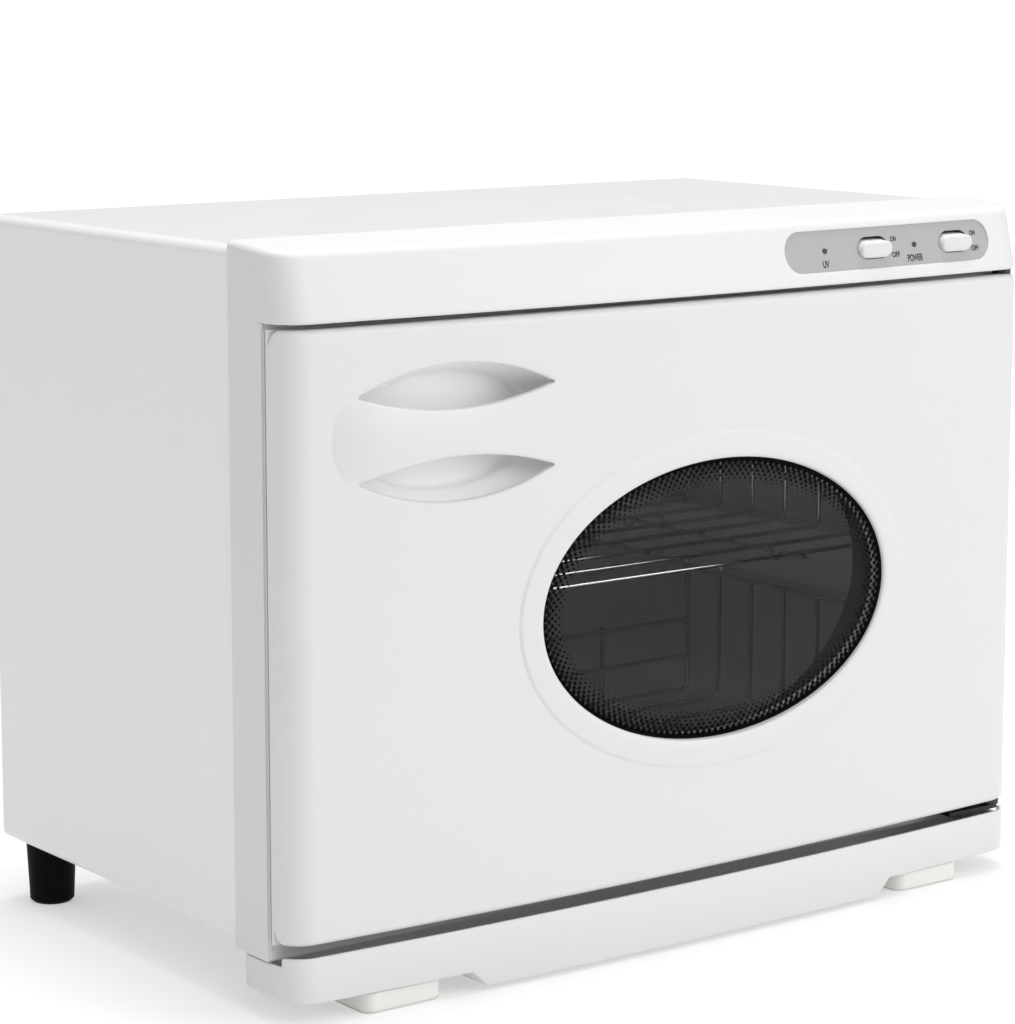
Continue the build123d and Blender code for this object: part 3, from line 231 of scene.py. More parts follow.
def merged_copy(name):
    """A copy of a CAD node with its mesh closed up, ready to be worked on."""
    piece = nodes[name].copy()
    piece.data = nodes[name].data.copy()
    for key in [k for k in piece.keys() if k.startswith("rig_")]:
        del piece[key]
    piece.parent = None
    bpy.context.scene.collection.objects.link(piece)
    pick(piece)
    edit()
    bpy.ops.mesh.select_all(action="SELECT")
    bpy.ops.mesh.remove_doubles(threshold=MERGE_REACH)
    bpy.ops.mesh.customdata_custom_splitnormals_clear()
    edit(False)
    return piece


SHARP_ANGLE, FLAT_ANGLE = radians(35), radians(1)


def soften(name, edge, smooth_angle=40.0):
    """A copy of a CAD node with its sharp edges rounded by this much, as moulding leaves them."""
    piece = merged_copy(name)
    edit()
    bpy.ops.mesh.dissolve_limited(angle_limit=FLAT_ANGLE)
    edit(False)
    apply_modifier(
        piece, "BEVEL", width=edge, segments=3, limit_method="ANGLE", angle_limit=SHARP_ANGLE,
        use_clamp_overlap=False,
    )
    return settle(piece, name + "_moulding", smooth_angle)


# ---- Casing ----
# A wrap of thin sheet steel folded over the top and down the sides, closed by a floor sheet
# and a vented back panel, all sprayed with smooth white enamel; the back is held by screws.
enamel = Finish("casing_enamel", (0.8, 0.8, 0.805), 0.34, coat=0.15)
enamel.set("Roughness", 0.30 + 0.09 * enamel.grain(45.0))
enamel.bump(enamel.grain(420.0, 2.0), 0.02)
dress(enamel, "outer_casing", "bottom_panel", "back_panel")

# ---- Screws in the back panel ----
# Low pan-head screws with a cross recess, zinc plated: one at each corner, one halfway up
# each side and one in the middle. Each is turned a little differently, as tightened.
SCREW_RADIUS, SCREW_HEIGHT, SCREW_EDGE = 3.0 * MM, 0.9 * MM, 0.5 * MM
RECESS_LONG, RECESS_WIDE, RECESS_DEEP = 3.2 * MM, 1.0 * MM, 0.7 * MM
SCREW_SIDE, SCREW_LOW, SCREW_HIGH = 17.0 * MM, 8.0 * MM, 17.0 * MM
SCREW_TURN = 0.7
zinc = Finish("zinc_steel", (0.55, 0.56, 0.58), 0.35, metallic=1.0)
zinc.set("Roughness", 0.30 + 0.12 * zinc.grain(600.0))


def screw_head():
    """One screw head with a cross recess, its flat back at the origin and its crown at +Y."""
    bpy.ops.mesh.primitive_cylinder_add(
        vertices=24, radius=SCREW_RADIUS, depth=SCREW_HEIGHT, location=(0, SCREW_HEIGHT / 2, 0),
        rotation=(radians(-90), 0, 0),
    )
    head = bpy.context.object
    bpy.ops.object.transform_apply()
    apply_modifier(head, "BEVEL", width=SCREW_EDGE, segments=3, limit_method="ANGLE")
    for turn in (0.0, radians(90)):
        bpy.ops.mesh.primitive_cube_add(
            size=1.0, location=(0, SCREW_HEIGHT, 0), rotation=(0, turn, 0),
            scale=(RECESS_LONG, RECESS_WIDE, RECESS_DEEP),
        )
        blade = bpy.context.object
        apply_modifier(head, "BOOLEAN", object=blade, operation="DIFFERENCE")
        bpy.data.objects.remove(blade)
    return head


def copy_of(model, place):
    """A copy with its own mesh, moved by a matrix."""
    piece = model.copy()
    piece.data = model.data.copy()
    piece.data.transform(place)
    bpy.context.scene.collection.objects.link(piece)
    return piece


back_low, back_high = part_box("back_panel")
head_model = screw_head()
screw_places = []
for x in (back_low.x + SCREW_SIDE, 0.0, back_high.x - SCREW_SIDE):
    for z in (back_low.z + SCREW_LOW, (back_low.z + back_high.z) / 2, back_high.z - SCREW_HIGH):
        at_middle = back_low.z + SCREW_LOW < z < back_high.z - SCREW_HIGH
        if x or at_middle:
            screw_places.append((x, back_high.y, z))
for number, at in enumerate(screw_places):
    turn = Matrix.Rotation(SCREW_TURN * number, 4, "Y")
    screw = settle(copy_of(head_model, Matrix.Translation(at) @ turn), f"back_screw_{number}")
    fit(screw, "cabinet", "steel_zinc", zinc)
bpy.data.objects.remove(head_model)

# ---- Feet ----
# Two tapered black rubber feet at the back, and two flat cream plastic pads at the front,
# each moulded with the block that rises behind the tray and screws to the casing's folds.
black_rubber = Finish("black_rubber", (0.01, 0.01, 0.01), 0.7, metallic=1.0)
black_rubber.bump(black_rubber.grain(900.0), 0.03)
pad = Finish("cream_pad", (0.78, 0.775, 0.74), 0.5)
pad.bump(pad.grain(700.0), 0.03)
dress(black_rubber, "rear_feet")
PAD_EDGE = 1.2 * MM
for name in ("front_foot_left", "front_foot_right"):
    foot = soften(name, PAD_EDGE)
    for vertex in foot.data.vertices:
        vertex.co.z = max(vertex.co.z, 0.0)
    fit(foot, "cabinet", "pad_plastic", pad, name)

# ---- Front frame and hood ----
# One satin white moulding: a flat ring around the chamber's mouth, open at its back, and the
# bowed hood over the door, which leans back and has soft edges and an opening for the controls.
moulded = Finish("moulded_white", (0.69, 0.69, 0.695), 0.5)
moulded.set("Roughness", 0.47 + 0.08 * moulded.grain(60.0))
moulded.bump(moulded.grain(900.0, 3.0), 0.012)
frame_low, frame_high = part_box("front_frame")
BOW = 8.0 * MM
HALF = frame_high.x
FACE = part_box("inner_chamber")[0].y - 3.0 * MM
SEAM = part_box("outer_casing")[0].y
SIDE_DEPTH = 43.4 * MM
BOW_RADIUS = (HALF**2 + BOW**2) / (2 * BOW)
BOW_CENTRE = SEAM - SIDE_DEPTH + BOW_RADIUS - BOW
PLAN_CORNER = 16.0 * MM
HOOD_TALL, HOOD_LEAN, HOOD_SLOPE = 34.3 * MM, 8.3 * MM, 3.6 * MM
HOOD_FLOOR = frame_high.z - HOOD_TALL
LEAN, SLOPE = HOOD_LEAN / HOOD_TALL, HOOD_SLOPE / SIDE_DEPTH
HOOD_WALL = 2.5 * MM
HOOD_TOP_EDGE, HOOD_BOTTOM_EDGE = 3.2 * MM, 1.4 * MM
HOOD_LEVELS, HOOD_SPAN = 8.0 * MM, 30.0 * MM
PLATE_X, PLATE_Z = HALF - 95.7 * MM, HOOD_FLOOR + 16.1 * MM
PLATE_HALF, PLATE_HIGH = 70.8 * MM, 9.9 * MM
PLATE_LIP, PLATE_CLEAR = 0.5 * MM, 2.0 * MM
PLATE_LOOPS = (0.0, 0.05, 0.2, 0.5, 1.2)
INSIDE, SHARP_EDGE = 0.02 * MM, 0.0001 * MM
RING_EDGE, FACES_BACK = 1.0 * MM, 0.9
MOUTH_LIP, MOUTH_CORNER = 9.0 * MM, 24.0 * MM
MOUTH_AHEAD, MOUTH_BEHIND = 5.0 * MM, 9.0 * MM
MAGNET_SLACK = Vector((0.1, 5.0, 0.1)) * MM
corner_x = HALF - PLAN_CORNER
corner_y = BOW_CENTRE - sqrt((BOW_RADIUS - PLAN_CORNER) ** 2 - corner_x**2)
corner_start = asin(corner_x / (BOW_RADIUS - PLAN_CORNER))
bow_length = BOW_RADIUS * corner_start
corner_length = PLAN_CORNER * (pi / 2 - corner_start)


def bow_y(x, inset=0.0):
    """Depth of the bowed front at x, or of a surface inset behind it."""
    return BOW_CENTRE - sqrt((BOW_RADIUS - inset) ** 2 - x**2)


def plan_point(s):
    """Point and outward normal at a distance s along the bowed plan, from its middle."""
    if abs(s) <= bow_length:
        angle = s / BOW_RADIUS
        normal = Vector((sin(angle), -cos(angle), 0))
        return Vector((0, BOW_CENTRE, 0)) + BOW_RADIUS * normal, normal
    side = 1 if s > 0 else -1
    angle = corner_start + min(abs(s) - bow_length, corner_length) / PLAN_CORNER
    normal = Vector((side * sin(angle), -cos(angle), 0))
    at = Vector((side * corner_x, corner_y, 0)) + PLAN_CORNER * normal
    return at + Vector((0, max(abs(s) - bow_length - corner_length, 0.0), 0)), normal


def steps(start, end, pace):
    """Even steps from start to end, each about this long."""
    count = max(1, round((end - start) / pace))
    return [start + (end - start) * i / count for i in range(count + 1)]


def new_piece(name, points, edges, faces):
    """A piece made straight from points, edges and faces."""
    mesh = bpy.data.meshes.new(name)
    mesh.from_pydata(points, edges, faces)
    piece = bpy.data.objects.new(name, mesh)
    bpy.context.scene.collection.objects.link(piece)
    return piece


SAME_ROW = 1e-7


def two_skins(name, flat, fences, front, back, is_open):
    """Closed shell from a flat pattern: an outer skin, an inner skin, and the edges between.

    The pattern's points lie between a lowest and a highest row. Those rows are closed over
    by flat ends, and the skins are joined around the openings and at the sides.
    """
    made, _, triangles, sources, _, _ = geometry.delaunay_2d_cdt(flat, fences, [], 0, 1e-9, True)
    outside = [front[ids[0]] for ids in sources]
    inside = [back[ids[0]] for ids in sources]
    faces = []
    for triangle in triangles:
        middle = sum((made[i] for i in triangle), Vector((0, 0))) / 3
        if not is_open(middle.x, middle.y):
            faces.append(tuple(triangle))
    count = len(outside)
    edges = {(a, b) for f in faces for a, b in zip(f, f[1:] + f[:1])}
    borders = [(a, b) for a, b in edges if (b, a) not in edges]
    shut = [(c + count, b + count, a + count) for a, b, c in faces]
    heights = [point.y for point in made]
    for level, turn in ((min(heights), 1), (max(heights), -1)):
        row = [i for i in range(count) if abs(made[i].y - level) < SAME_ROW]
        row.sort(key=lambda i: turn * made[i].x)
        shut.append(tuple(reversed(row)))
        shut.append(tuple(i + count for i in row))
        shut.append((row[-1], row[0], row[0] + count, row[-1] + count))
        inner = set(row)
        borders = [(a, b) for a, b in borders if not (a in inner and b in inner)]
    shut += [(b, a, a + count, b + count) for a, b in borders]
    piece = new_piece(name, outside + inside, [], faces + shut)
    piece.data.validate()
    return piece


def ring_of(start, count):
    """Pairs of neighbours round a closed loop of this many points."""
    return [(start + i, start + (i + 1) % count) for i in range(count)]


hood_reach = bow_length + corner_length + SEAM - corner_y


def hood_rise(y):
    """Height of the hood above its floor, where its floor lies at this depth."""
    rear = frame_high.z - HOOD_FLOOR
    return min((rear - SLOPE * (SEAM - y)) / (1 - SLOPE * LEAN), rear)


def hood_point(s, v, depth=0.0):
    """Point of the hood at s along its plan and v above its floor, sunk by a depth."""
    at, normal = plan_point(s)
    height = hood_rise(at.y)
    edge = HOOD_BOTTOM_EDGE if at.y <= FACE else SHARP_EDGE
    angle = 0.0
    if v < HOOD_LEVELS:
        angle = pi / 2 * (1 - v / HOOD_LEVELS)
        inset, rise = edge * (1 - cos(angle)), edge * (1 - sin(angle))
        angle = -angle
    elif v > HOOD_LEVELS + HOOD_SPAN:
        angle = pi / 2 * (v - HOOD_LEVELS - HOOD_SPAN) / HOOD_LEVELS
        inset = HOOD_TOP_EDGE * (1 - cos(angle))
        rise = height - HOOD_TOP_EDGE * (1 - sin(angle))
    else:
        straight = height - HOOD_TOP_EDGE - edge
        inset, rise = 0.0, edge + (v - HOOD_LEVELS) / HOOD_SPAN * straight
    at -= inset * normal
    at.y += LEAN * rise
    at.z = HOOD_FLOOR + rise
    at -= depth * Vector((normal.x * cos(angle), normal.y * cos(angle), sin(angle)))
    at.y = min(at.y, SEAM)
    return at


def hood_pattern(x, z):
    """Distances s and v of the hood's front face at x and z."""
    s = BOW_RADIUS * asin(x / BOW_RADIUS)
    straight = hood_rise(plan_point(s)[0].y) - HOOD_TOP_EDGE - HOOD_BOTTOM_EDGE
    return s, HOOD_LEVELS + (z - HOOD_FLOOR - HOOD_BOTTOM_EDGE) / straight * HOOD_SPAN


def in_plate(x, z, grow):
    """Whether a point lies in the plate's stadium-shaped opening, grown by this much."""
    across = max(abs(x - PLATE_X) - PLATE_HALF + PLATE_HIGH, 0.0)
    return hypot(across, z - PLATE_Z) < PLATE_HIGH + grow


def plate_loop(grow):
    """Points round the plate's opening, grown by this much: its round ends, then its sides."""
    points = []
    straight, high = PLATE_HALF - PLATE_HIGH, PLATE_HIGH + grow
    end_steps, side_steps = 20, 40
    for side in (1, -1):
        for step in range(end_steps):
            angle = radians(-90 + 180 * step / end_steps)
            x = side * (straight + high * cos(angle))
            points.append((PLATE_X + x, PLATE_Z + side * high * sin(angle)))
        for step in range(side_steps):
            x = side * straight * (1 - 2 * step / side_steps)
            points.append((PLATE_X + x, PLATE_Z + side * high))
    return points


def hood_moulding():
    """The hood's shell, laid out over its plan's length and its height."""
    flat, front, back, fences = [], [], [], []
    fine, broad, coarse, tight, tall = 1.2 * MM, 4.0 * MM, 6.0 * MM, 1.0 * MM, 2.5 * MM
    turned = bow_length + corner_length
    columns = steps(-hood_reach, -turned, coarse)[:-1] + steps(-turned, -bow_length, fine)[:-1]
    columns += steps(-bow_length, bow_length, broad)
    columns += steps(bow_length, turned, fine)[1:] + steps(turned, hood_reach, coarse)[1:]
    top = HOOD_LEVELS + HOOD_SPAN
    rows = steps(0.0, HOOD_LEVELS, tight)[:-1] + steps(HOOD_LEVELS, top, tall)
    rows += steps(top, HOOD_LEVELS + top, tight)[1:]
    for s in columns:
        for v in rows:
            at = hood_point(s, v)
            on_front = at.y < FACE and HOOD_LEVELS < v < top
            if not (on_front and in_plate(at.x, at.z, PLATE_CLEAR)):
                flat.append(Vector((s, v)))
                front.append(at)
                back.append(hood_point(s, v, HOOD_WALL))
    for grow in (loop * MM for loop in PLATE_LOOPS):
        start = len(flat)
        drop = PLATE_LIP - sqrt(PLATE_LIP**2 - max(PLATE_LIP - grow, 0.0) ** 2)
        for x, z in plate_loop(grow):
            s, v = hood_pattern(x, z)
            flat.append(Vector((s, v)))
            front.append(hood_point(s, v, drop))
            back.append(hood_point(s, v, HOOD_WALL))
        fences += ring_of(start, len(flat) - start)

    def is_open(s, v):
        at = hood_point(s, v)
        return at.y < FACE and in_plate(at.x, at.z, -INSIDE)

    return two_skins("hood", flat, fences, front, back, is_open)


def box_cutter(low, high):
    """A plain box between two corners."""
    low, high = Vector(low), Vector(high)
    bpy.ops.mesh.primitive_cube_add(size=1.0, location=(low + high) / 2)
    cutter = bpy.context.object
    cutter.scale = high - low
    bpy.ops.object.transform_apply()
    return cutter


def bevel_edges(piece, chosen, width, segments):
    """Round the edges whose two ends satisfy a test."""
    pick(piece)
    edit()
    bpy.ops.mesh.select_mode(type="EDGE")
    bpy.ops.mesh.select_all(action="DESELECT")
    edit(False)
    for edge in piece.data.edges:
        edge.select = chosen(*(piece.data.vertices[i].co for i in edge.vertices))
    edit()
    bpy.ops.mesh.bevel(offset=width, segments=segments, clamp_overlap=False)
    edit(False)


def frame_ring():
    """Flat ring with side walls, open at its back, cut for the chamber and the magnet."""
    ring = box_cutter((-HALF, FACE, frame_low.z), (HALF, SEAM, HOOD_FLOOR))

    def at_front(a, b):
        return max(a.y, b.y) < FACE + RING_EDGE and min(a.z, b.z) < HOOD_FLOOR - RING_EDGE

    bevel_edges(ring, at_front, RING_EDGE, 3)
    for polygon in ring.data.polygons:
        polygon.select = polygon.normal.y > FACES_BACK
    edit()
    bpy.ops.mesh.select_mode(type="FACE")
    bpy.ops.mesh.delete(type="FACE")
    edit(False)
    apply_modifier(ring, "SOLIDIFY", thickness=HOOD_WALL, offset=-1.0, use_even_offset=True)
    chamber_low, chamber_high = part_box("inner_chamber")
    lip = Vector((MOUTH_LIP, 0, MOUTH_LIP))
    mouth_low, mouth_high = chamber_low + lip, chamber_high - lip
    mouth_low.y, mouth_high.y = FACE - MOUTH_AHEAD, FACE + MOUTH_BEHIND
    mouth = box_cutter(mouth_low, mouth_high)
    bevel_edges(mouth, lambda a, b: abs(a.y - b.y) > MOUTH_AHEAD, MOUTH_CORNER, 16)
    magnet_low, magnet_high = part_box("door_magnet")
    slot = box_cutter(magnet_low - MAGNET_SLACK, magnet_high + MAGNET_SLACK)
    for cutter in (mouth, slot):
        apply_modifier(ring, "BOOLEAN", object=cutter, operation="DIFFERENCE")
        bpy.data.objects.remove(cutter)
    return ring


def join(pieces):
    """One piece made of several."""
    bpy.ops.object.select_all(action="DESELECT")
    for piece in pieces:
        piece.select_set(True)
    bpy.context.view_layer.objects.active = pieces[0]
    bpy.ops.object.join()
    return bpy.context.object


front_moulding = settle(join([frame_ring(), hood_moulding()]), "front_frame_moulding", 42)
fit(front_moulding, "cabinet", "white_plastic", moulded, "front_frame")

# ---- Chamber liner and the rails for the upper rack ----
# A drawn box of bright aluminium with rolled grain along its depth, and two folded rails of
# the same sheet riveted to its side walls.
liner = Finish("bright_liner", (0.88, 0.88, 0.885), 0.45, metallic=0.55)
liner.set("Roughness", 0.36 + 0.14 * liner.grain(500.0, 2.0, (1, 0.04, 1)))
dress(liner, "inner_chamber", "rack_support_left", "rack_support_right")

# ---- Insulation, heating mat and safety parts ----
# Pale wool slabs between the liner and the casing, a red silicone heating mat stuck under
# the liner's floor, and a snap-disc thermostat with its thermal fuse on the back.
wool = Finish("wool_slab", (0.70, 0.66, 0.48), 0.95)
wool.bump(wool.grain(260.0, 4.0), 0.8)
mat_red = Finish("heater_red", (0.42, 0.08, 0.05), 0.6)
mat_red.bump(mat_red.grain(800.0), 0.05)
black_plastic = Finish("black_plastic", (0.015, 0.015, 0.016), 0.4)
black_plastic.bump(black_plastic.grain(800.0), 0.01)
dress(wool, *("insulation_" + side for side in ("top", "bottom", "left", "right", "rear")))
dress(mat_red, "heater_mat")
dress(black_plastic, "thermostat", "power_inlet")
dress(zinc, "thermal_fuse")

# ---- Wire racks ----
# Two welded baskets of bright plated steel wire: seven long wires with raised ends, four
# cross wires with dips for feet, a rear fence and side rails. The bends are turned on a pin.
RACK_WIRE, WIRE_START = 2.5 * MM, 0.2 * MM
BEND, TIGHT_BEND = 4.0 * MM, 1.6 * MM
RACK_DEEP, RACK_PITCH, LONG_WIRES = 69.5 * MM, 27.0 * MM, 7
CROSS_DROP, CROSS_PLACES = 2.2 * MM, (0.163, 0.316, 0.69, 0.84)
DIP, DIP_PLACE = 4.6 * MM, 0.75
FENCE_TALL, FENCE_RAILS = 42.5 * MM, (19.0 * MM, 40.0 * MM)
plated = Finish("plated_wire", (0.6, 0.605, 0.61), 0.13, metallic=1.0)
plated.set("Roughness", 0.1 + 0.07 * plated.grain(400.0))


def bent_wire(points, bend=BEND):
    """A round wire through these points, with its corners turned to a radius."""
    wire = new_piece("wire", points, [(i, i + 1) for i in range(len(points) - 1)], [])
    pick(wire)
    if len(points) > 2:
        for vertex in wire.data.vertices:
            vertex.select = 0 < vertex.index < len(points) - 1
        edit()
        bpy.ops.mesh.bevel(offset=bend, segments=4, affect="VERTICES", clamp_overlap=True)
        edit(False)
    bpy.ops.object.convert(target="CURVE")
    wire = bpy.context.object
    wire.data.bevel_depth = RACK_WIRE / 2
    wire.data.bevel_resolution = 2
    wire.data.use_fill_caps = True
    bpy.ops.object.convert(target="MESH")
    return bpy.context.object


def basket(node):
    """One rack's wires, placed by its CAD node's box."""
    low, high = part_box(node)
    radius = RACK_WIRE / 2
    left, right, top = low.x + radius, high.x - radius, high.z - radius
    front_y = low.y + RACK_WIRE
    back_y = front_y + (LONG_WIRES - 1) * RACK_PITCH
    base = top - RACK_DEEP
    cross = base - CROSS_DROP
    wires = []
    for y in (front_y + index * RACK_PITCH for index in range(LONG_WIRES)):
        ends = (left, top), (left, base), (right, base), (right, top)
        wires.append(bent_wire([(x, y, z) for x, z in ends]))
    for x in (left, right):
        wires.append(bent_wire([(x, low.y, top), (x, high.y, top)]))
    for share in CROSS_PLACES:
        x = left + share * (right - left)
        route = [(x, low.y + WIRE_START, cross)]
        if share in (CROSS_PLACES[0], CROSS_PLACES[-1]):
            for middle in (front_y + DIP_PLACE * RACK_PITCH, back_y - DIP_PLACE * RACK_PITCH):
                route += [(x, middle - DIP, cross), (x, middle, cross - DIP)]
                route.append((x, middle + DIP, cross))
        fence_y = back_y + CROSS_DROP
        route += [(x, fence_y, cross), (x, fence_y, base + FENCE_TALL)]
        wires.append(bent_wire(route, TIGHT_BEND))
    for rise in FENCE_RAILS:
        wires.append(bent_wire([(left, back_y, base + rise), (right, back_y, base + rise)]))
    return join(wires)


for name in ("upper_rack", "lower_rack"):
    fit(settle(basket(name), name + "_wires", 60), "cabinet", "rack_chrome", plated, name)

# ---- Ultraviolet lamp ----
# A thin milky tube in two white plastic holders on the ceiling, behind a bent wire guard;
# its white control box lies on the slab above.
dress(plated, "lamp_guard")
holder_white = Finish("holder_white", (0.76, 0.76, 0.75), 0.45)
holder_white.bump(holder_white.grain(700.0), 0.02)
dress(holder_white, "lamp_holders", "uv_ballast", "uv_lamp")

# ---- Control plate and its lettering ----
# A flat grey plate behind an opening in the hood, with the switch words and lamp names
# printed on it in black, two small dark lenses, and a white housing behind each switch.
plate_grey = Finish("plate_grey", (0.365, 0.368, 0.373), 0.5)
plate_grey.bump(plate_grey.grain(1500.0), 0.01)
SWITCHES = (118.0 * MM, 175.0 * MM)
CAP_WIDE, CAP_TALL, HOLE_TALL = 0.93, 0.8, 0.84
HOLE_REACH, CAP_REACH, SWITCH_RISE = 14.0 * MM, 11.05 * MM, 9.0 * MM
PLATE_RECESS = 0.8 * MM
PIVOT_DEPTH = 6.0 * MM
TIPPED = radians(6.0)


def narrow_down(piece, tall, reach, tip=0.0):
    """Draw a piece in towards each switch's middle line, which is tipped this much."""
    for vertex in piece.data.vertices:
        for x in SWITCHES:
            near = abs(vertex.co.x - x) < reach
            if near and abs(vertex.co.z - PLATE_Z) < SWITCH_RISE:
                pivot = bow_y(x, PLATE_RECESS) + LEAN * (PLATE_Z - HOOD_FLOOR) + PIVOT_DEPTH
                middle = PLATE_Z + (vertex.co.y - pivot) * tan(tip)
                rise = (vertex.co.z - middle) * (tall - 1)
                vertex.co.x = x + (vertex.co.x - x) * CAP_WIDE
                vertex.co.z += rise
                vertex.co.y += rise * LEAN
    return piece


plate = narrow_down(merged_copy("control_plate"), HOLE_TALL, HOLE_REACH)
fit(settle(plate, "control_plate_sheet", 30), "cabinet", "plate_grey", plate_grey, "control_plate")
dress(black_plastic, "indicator_lenses")
dress(moulded, "uv_switch_housing", "power_switch_housing")
ink = Finish("black_print", (0.02, 0.02, 0.022), 0.6)
ink.set("Roughness", 0.55 + 0.1 * ink.grain(900.0))
CAPITAL = 0.69
PRINT_THICK, PRINT_BOLD, PRINT_PROUD = 0.02 * MM, 0.028, 0.05 * MM
LAMP_WORDS = (("UV", 84.7, 323.4, 3.3, 0.66), ("POWER", 146.0, 323.3, 3.3, 0.64))
SWITCH_WORDS = (("ON", 12.2, 3.4, 2.3, 0.8), ("OFF", 12.2, -4.2, 2.5, 0.86))


def word(text, x, z, height, narrow, side="CENTER"):
    """One printed word in narrow bold letters, flat on the plate, set by its middle or left end."""
    bpy.ops.object.text_add(location=(0, 0, 0))
    words = bpy.context.object
    words.data.body = text
    words.data.align_x, words.data.align_y = side, "CENTER"
    words.data.size = height / CAPITAL
    words.data.extrude = PRINT_THICK
    words.data.offset = PRINT_BOLD * words.data.size
    bpy.ops.object.convert(target="MESH")
    words = bpy.context.object
    depth = bow_y(x, PLATE_RECESS) + LEAN * (z - HOOD_FLOOR) - PRINT_PROUD
    place = Matrix.Translation((x, depth, z)) @ Matrix.Rotation(asin(x / BOW_RADIUS), 4, "Z")
    place = place @ Matrix.Rotation(radians(90) - atan2(LEAN, 1.0), 4, "X")
    place = place @ Matrix.Diagonal((narrow, 1.0, 1.0, 1.0))
    words.data.transform(place)
    settle(words, "word_" + text.lower() + f"_{round(x / MM)}")
    fit(words, "cabinet", "switch_black", ink)


for text, x, z, height, narrow in LAMP_WORDS:
    word(text, x * MM, z * MM, height * MM, narrow)
for switch in SWITCHES:
    for text, x, z, height, narrow in SWITCH_WORDS:
        word(text, switch + x * MM, PLATE_Z + z * MM, height * MM, narrow, "LEFT")

# ---- Rocker caps ----
# Two white caps with half-round ends and soft edges, each pivoted in its housing behind the
# plate and standing proud of it, tipped to OFF.
CAP_EDGE = 1.3 * MM
for switch in ("uv_switch", "power_switch"):
    node = switch + "_rocker"
    cap = narrow_down(soften(node, CAP_EDGE, 60), CAP_TALL, CAP_REACH, TIPPED)
    fit(cap, switch, "white_plastic", moulded, node)

# ---- Drip tray ----
# A white moulded trough under the door, with shallow ends and a deeper well, that slides
# forward on the casing's folds; its edges are softly rounded.
TRAY_EDGE = 0.8 * MM
fit(soften("drip_tray", TRAY_EDGE), "tray", "white_plastic", moulded, "drip_tray")

# ---- Door ----
# One large white moulding: a bowed face with rounded rims, a raised oval ring around the
# window, and a grip that swells out of the face between two lens-shaped openings.
WALL, RIM, CORNER, SWING = 3.0 * MM, 3.5 * MM, 4.5 * MM, 8.5 * MM
FINE, COARSE, RIM_STEP = 1.2 * MM, 3.2 * MM, 0.7 * MM
shell_low, shell_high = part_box("door_shell")
pin_low, pin_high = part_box("hinge_pin_lower")
PIN = (pin_low + pin_high) / 2
corner_end = acos((corner_y - shell_high.y) / PLAN_CORNER)
door_reach = bow_length + PLAN_CORNER * (corner_end - corner_start)
rim_length = RIM * pi / 2
door_height = shell_high.z - shell_low.z
face_rise = door_height - 2 * RIM + 2 * rim_length

WINDOW_X, WINDOW_Z = 17.5 * MM, 168.3 * MM
WINDOW_WIDE, WINDOW_HIGH = 106.5 * MM, 67.5 * MM
RING_LIP, RING_WIDTH, RING_FOOT = 3.4 * MM, 13.5 * MM, 2.0 * MM
RING_RISE, RING_BULGE, RING_LIP_DROP = 0.9 * MM, 1.4, 1.6 * MM
RING_LOOPS = (0.0, 0.1, 0.4, 0.9, 1.6, 2.4, 3.4, 5.0, 7.5)
RING_LOOPS += (10.0, 11.5, 11.9, 12.3, 12.7, 13.1, 13.5, 13.8, 16.0)
RING_CLEAR = 17.5 * MM
glass_low, glass_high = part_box("window_glass")
GLASS_SLACK, GLASS_REACH = 0.2 * MM, 8.0 * MM

HANDLE_X, HANDLE_Z = -135.0 * MM, 261.0 * MM
GRIP_WIDE, GRIP_HIGH, GRIP_RISE = 66.0 * MM, 22.0 * MM, 4.6 * MM
GRIP_SLOPE, GRIP_FADE = 27.0 * MM, 100.0 * MM
POCKET_TIP = (53.0 * MM, 19.0 * MM)
POCKET_TOP, POCKET_WAIST = 31.0 * MM, 10.5 * MM
POCKET_LIP, TIP_RADIUS = 1.3 * MM, 0.8 * MM
POCKET_LOOPS, POCKET_CLEAR = (0.0, 0.1, 0.35, 0.75, 1.3, 2.3), 3.0 * MM
rise, sag = POCKET_TOP - POCKET_TIP[1], POCKET_TIP[1] - POCKET_WAIST
POCKET_OUTER = (POCKET_TIP[0] ** 2 + rise**2) / (2 * rise)
POCKET_INNER = (POCKET_TIP[0] ** 2 + sag**2) / (2 * sag)
HANDLE_AREA = (70.0 * MM, 35.0 * MM)
GRIP_LOOPS = (-0.05, 0.0, 0.05, 0.11, 0.18, 0.26, 0.36)
GRIP_END, LEAST = GRIP_WIDE - POCKET_TIP[0], 0.01 * MM
GRIP_END_LOW, GRIP_END_HIGH, GRIP_END_WIDE = 0.56, 1.1, 1.7
GRIP_END_TURN = (radians(117), radians(126))


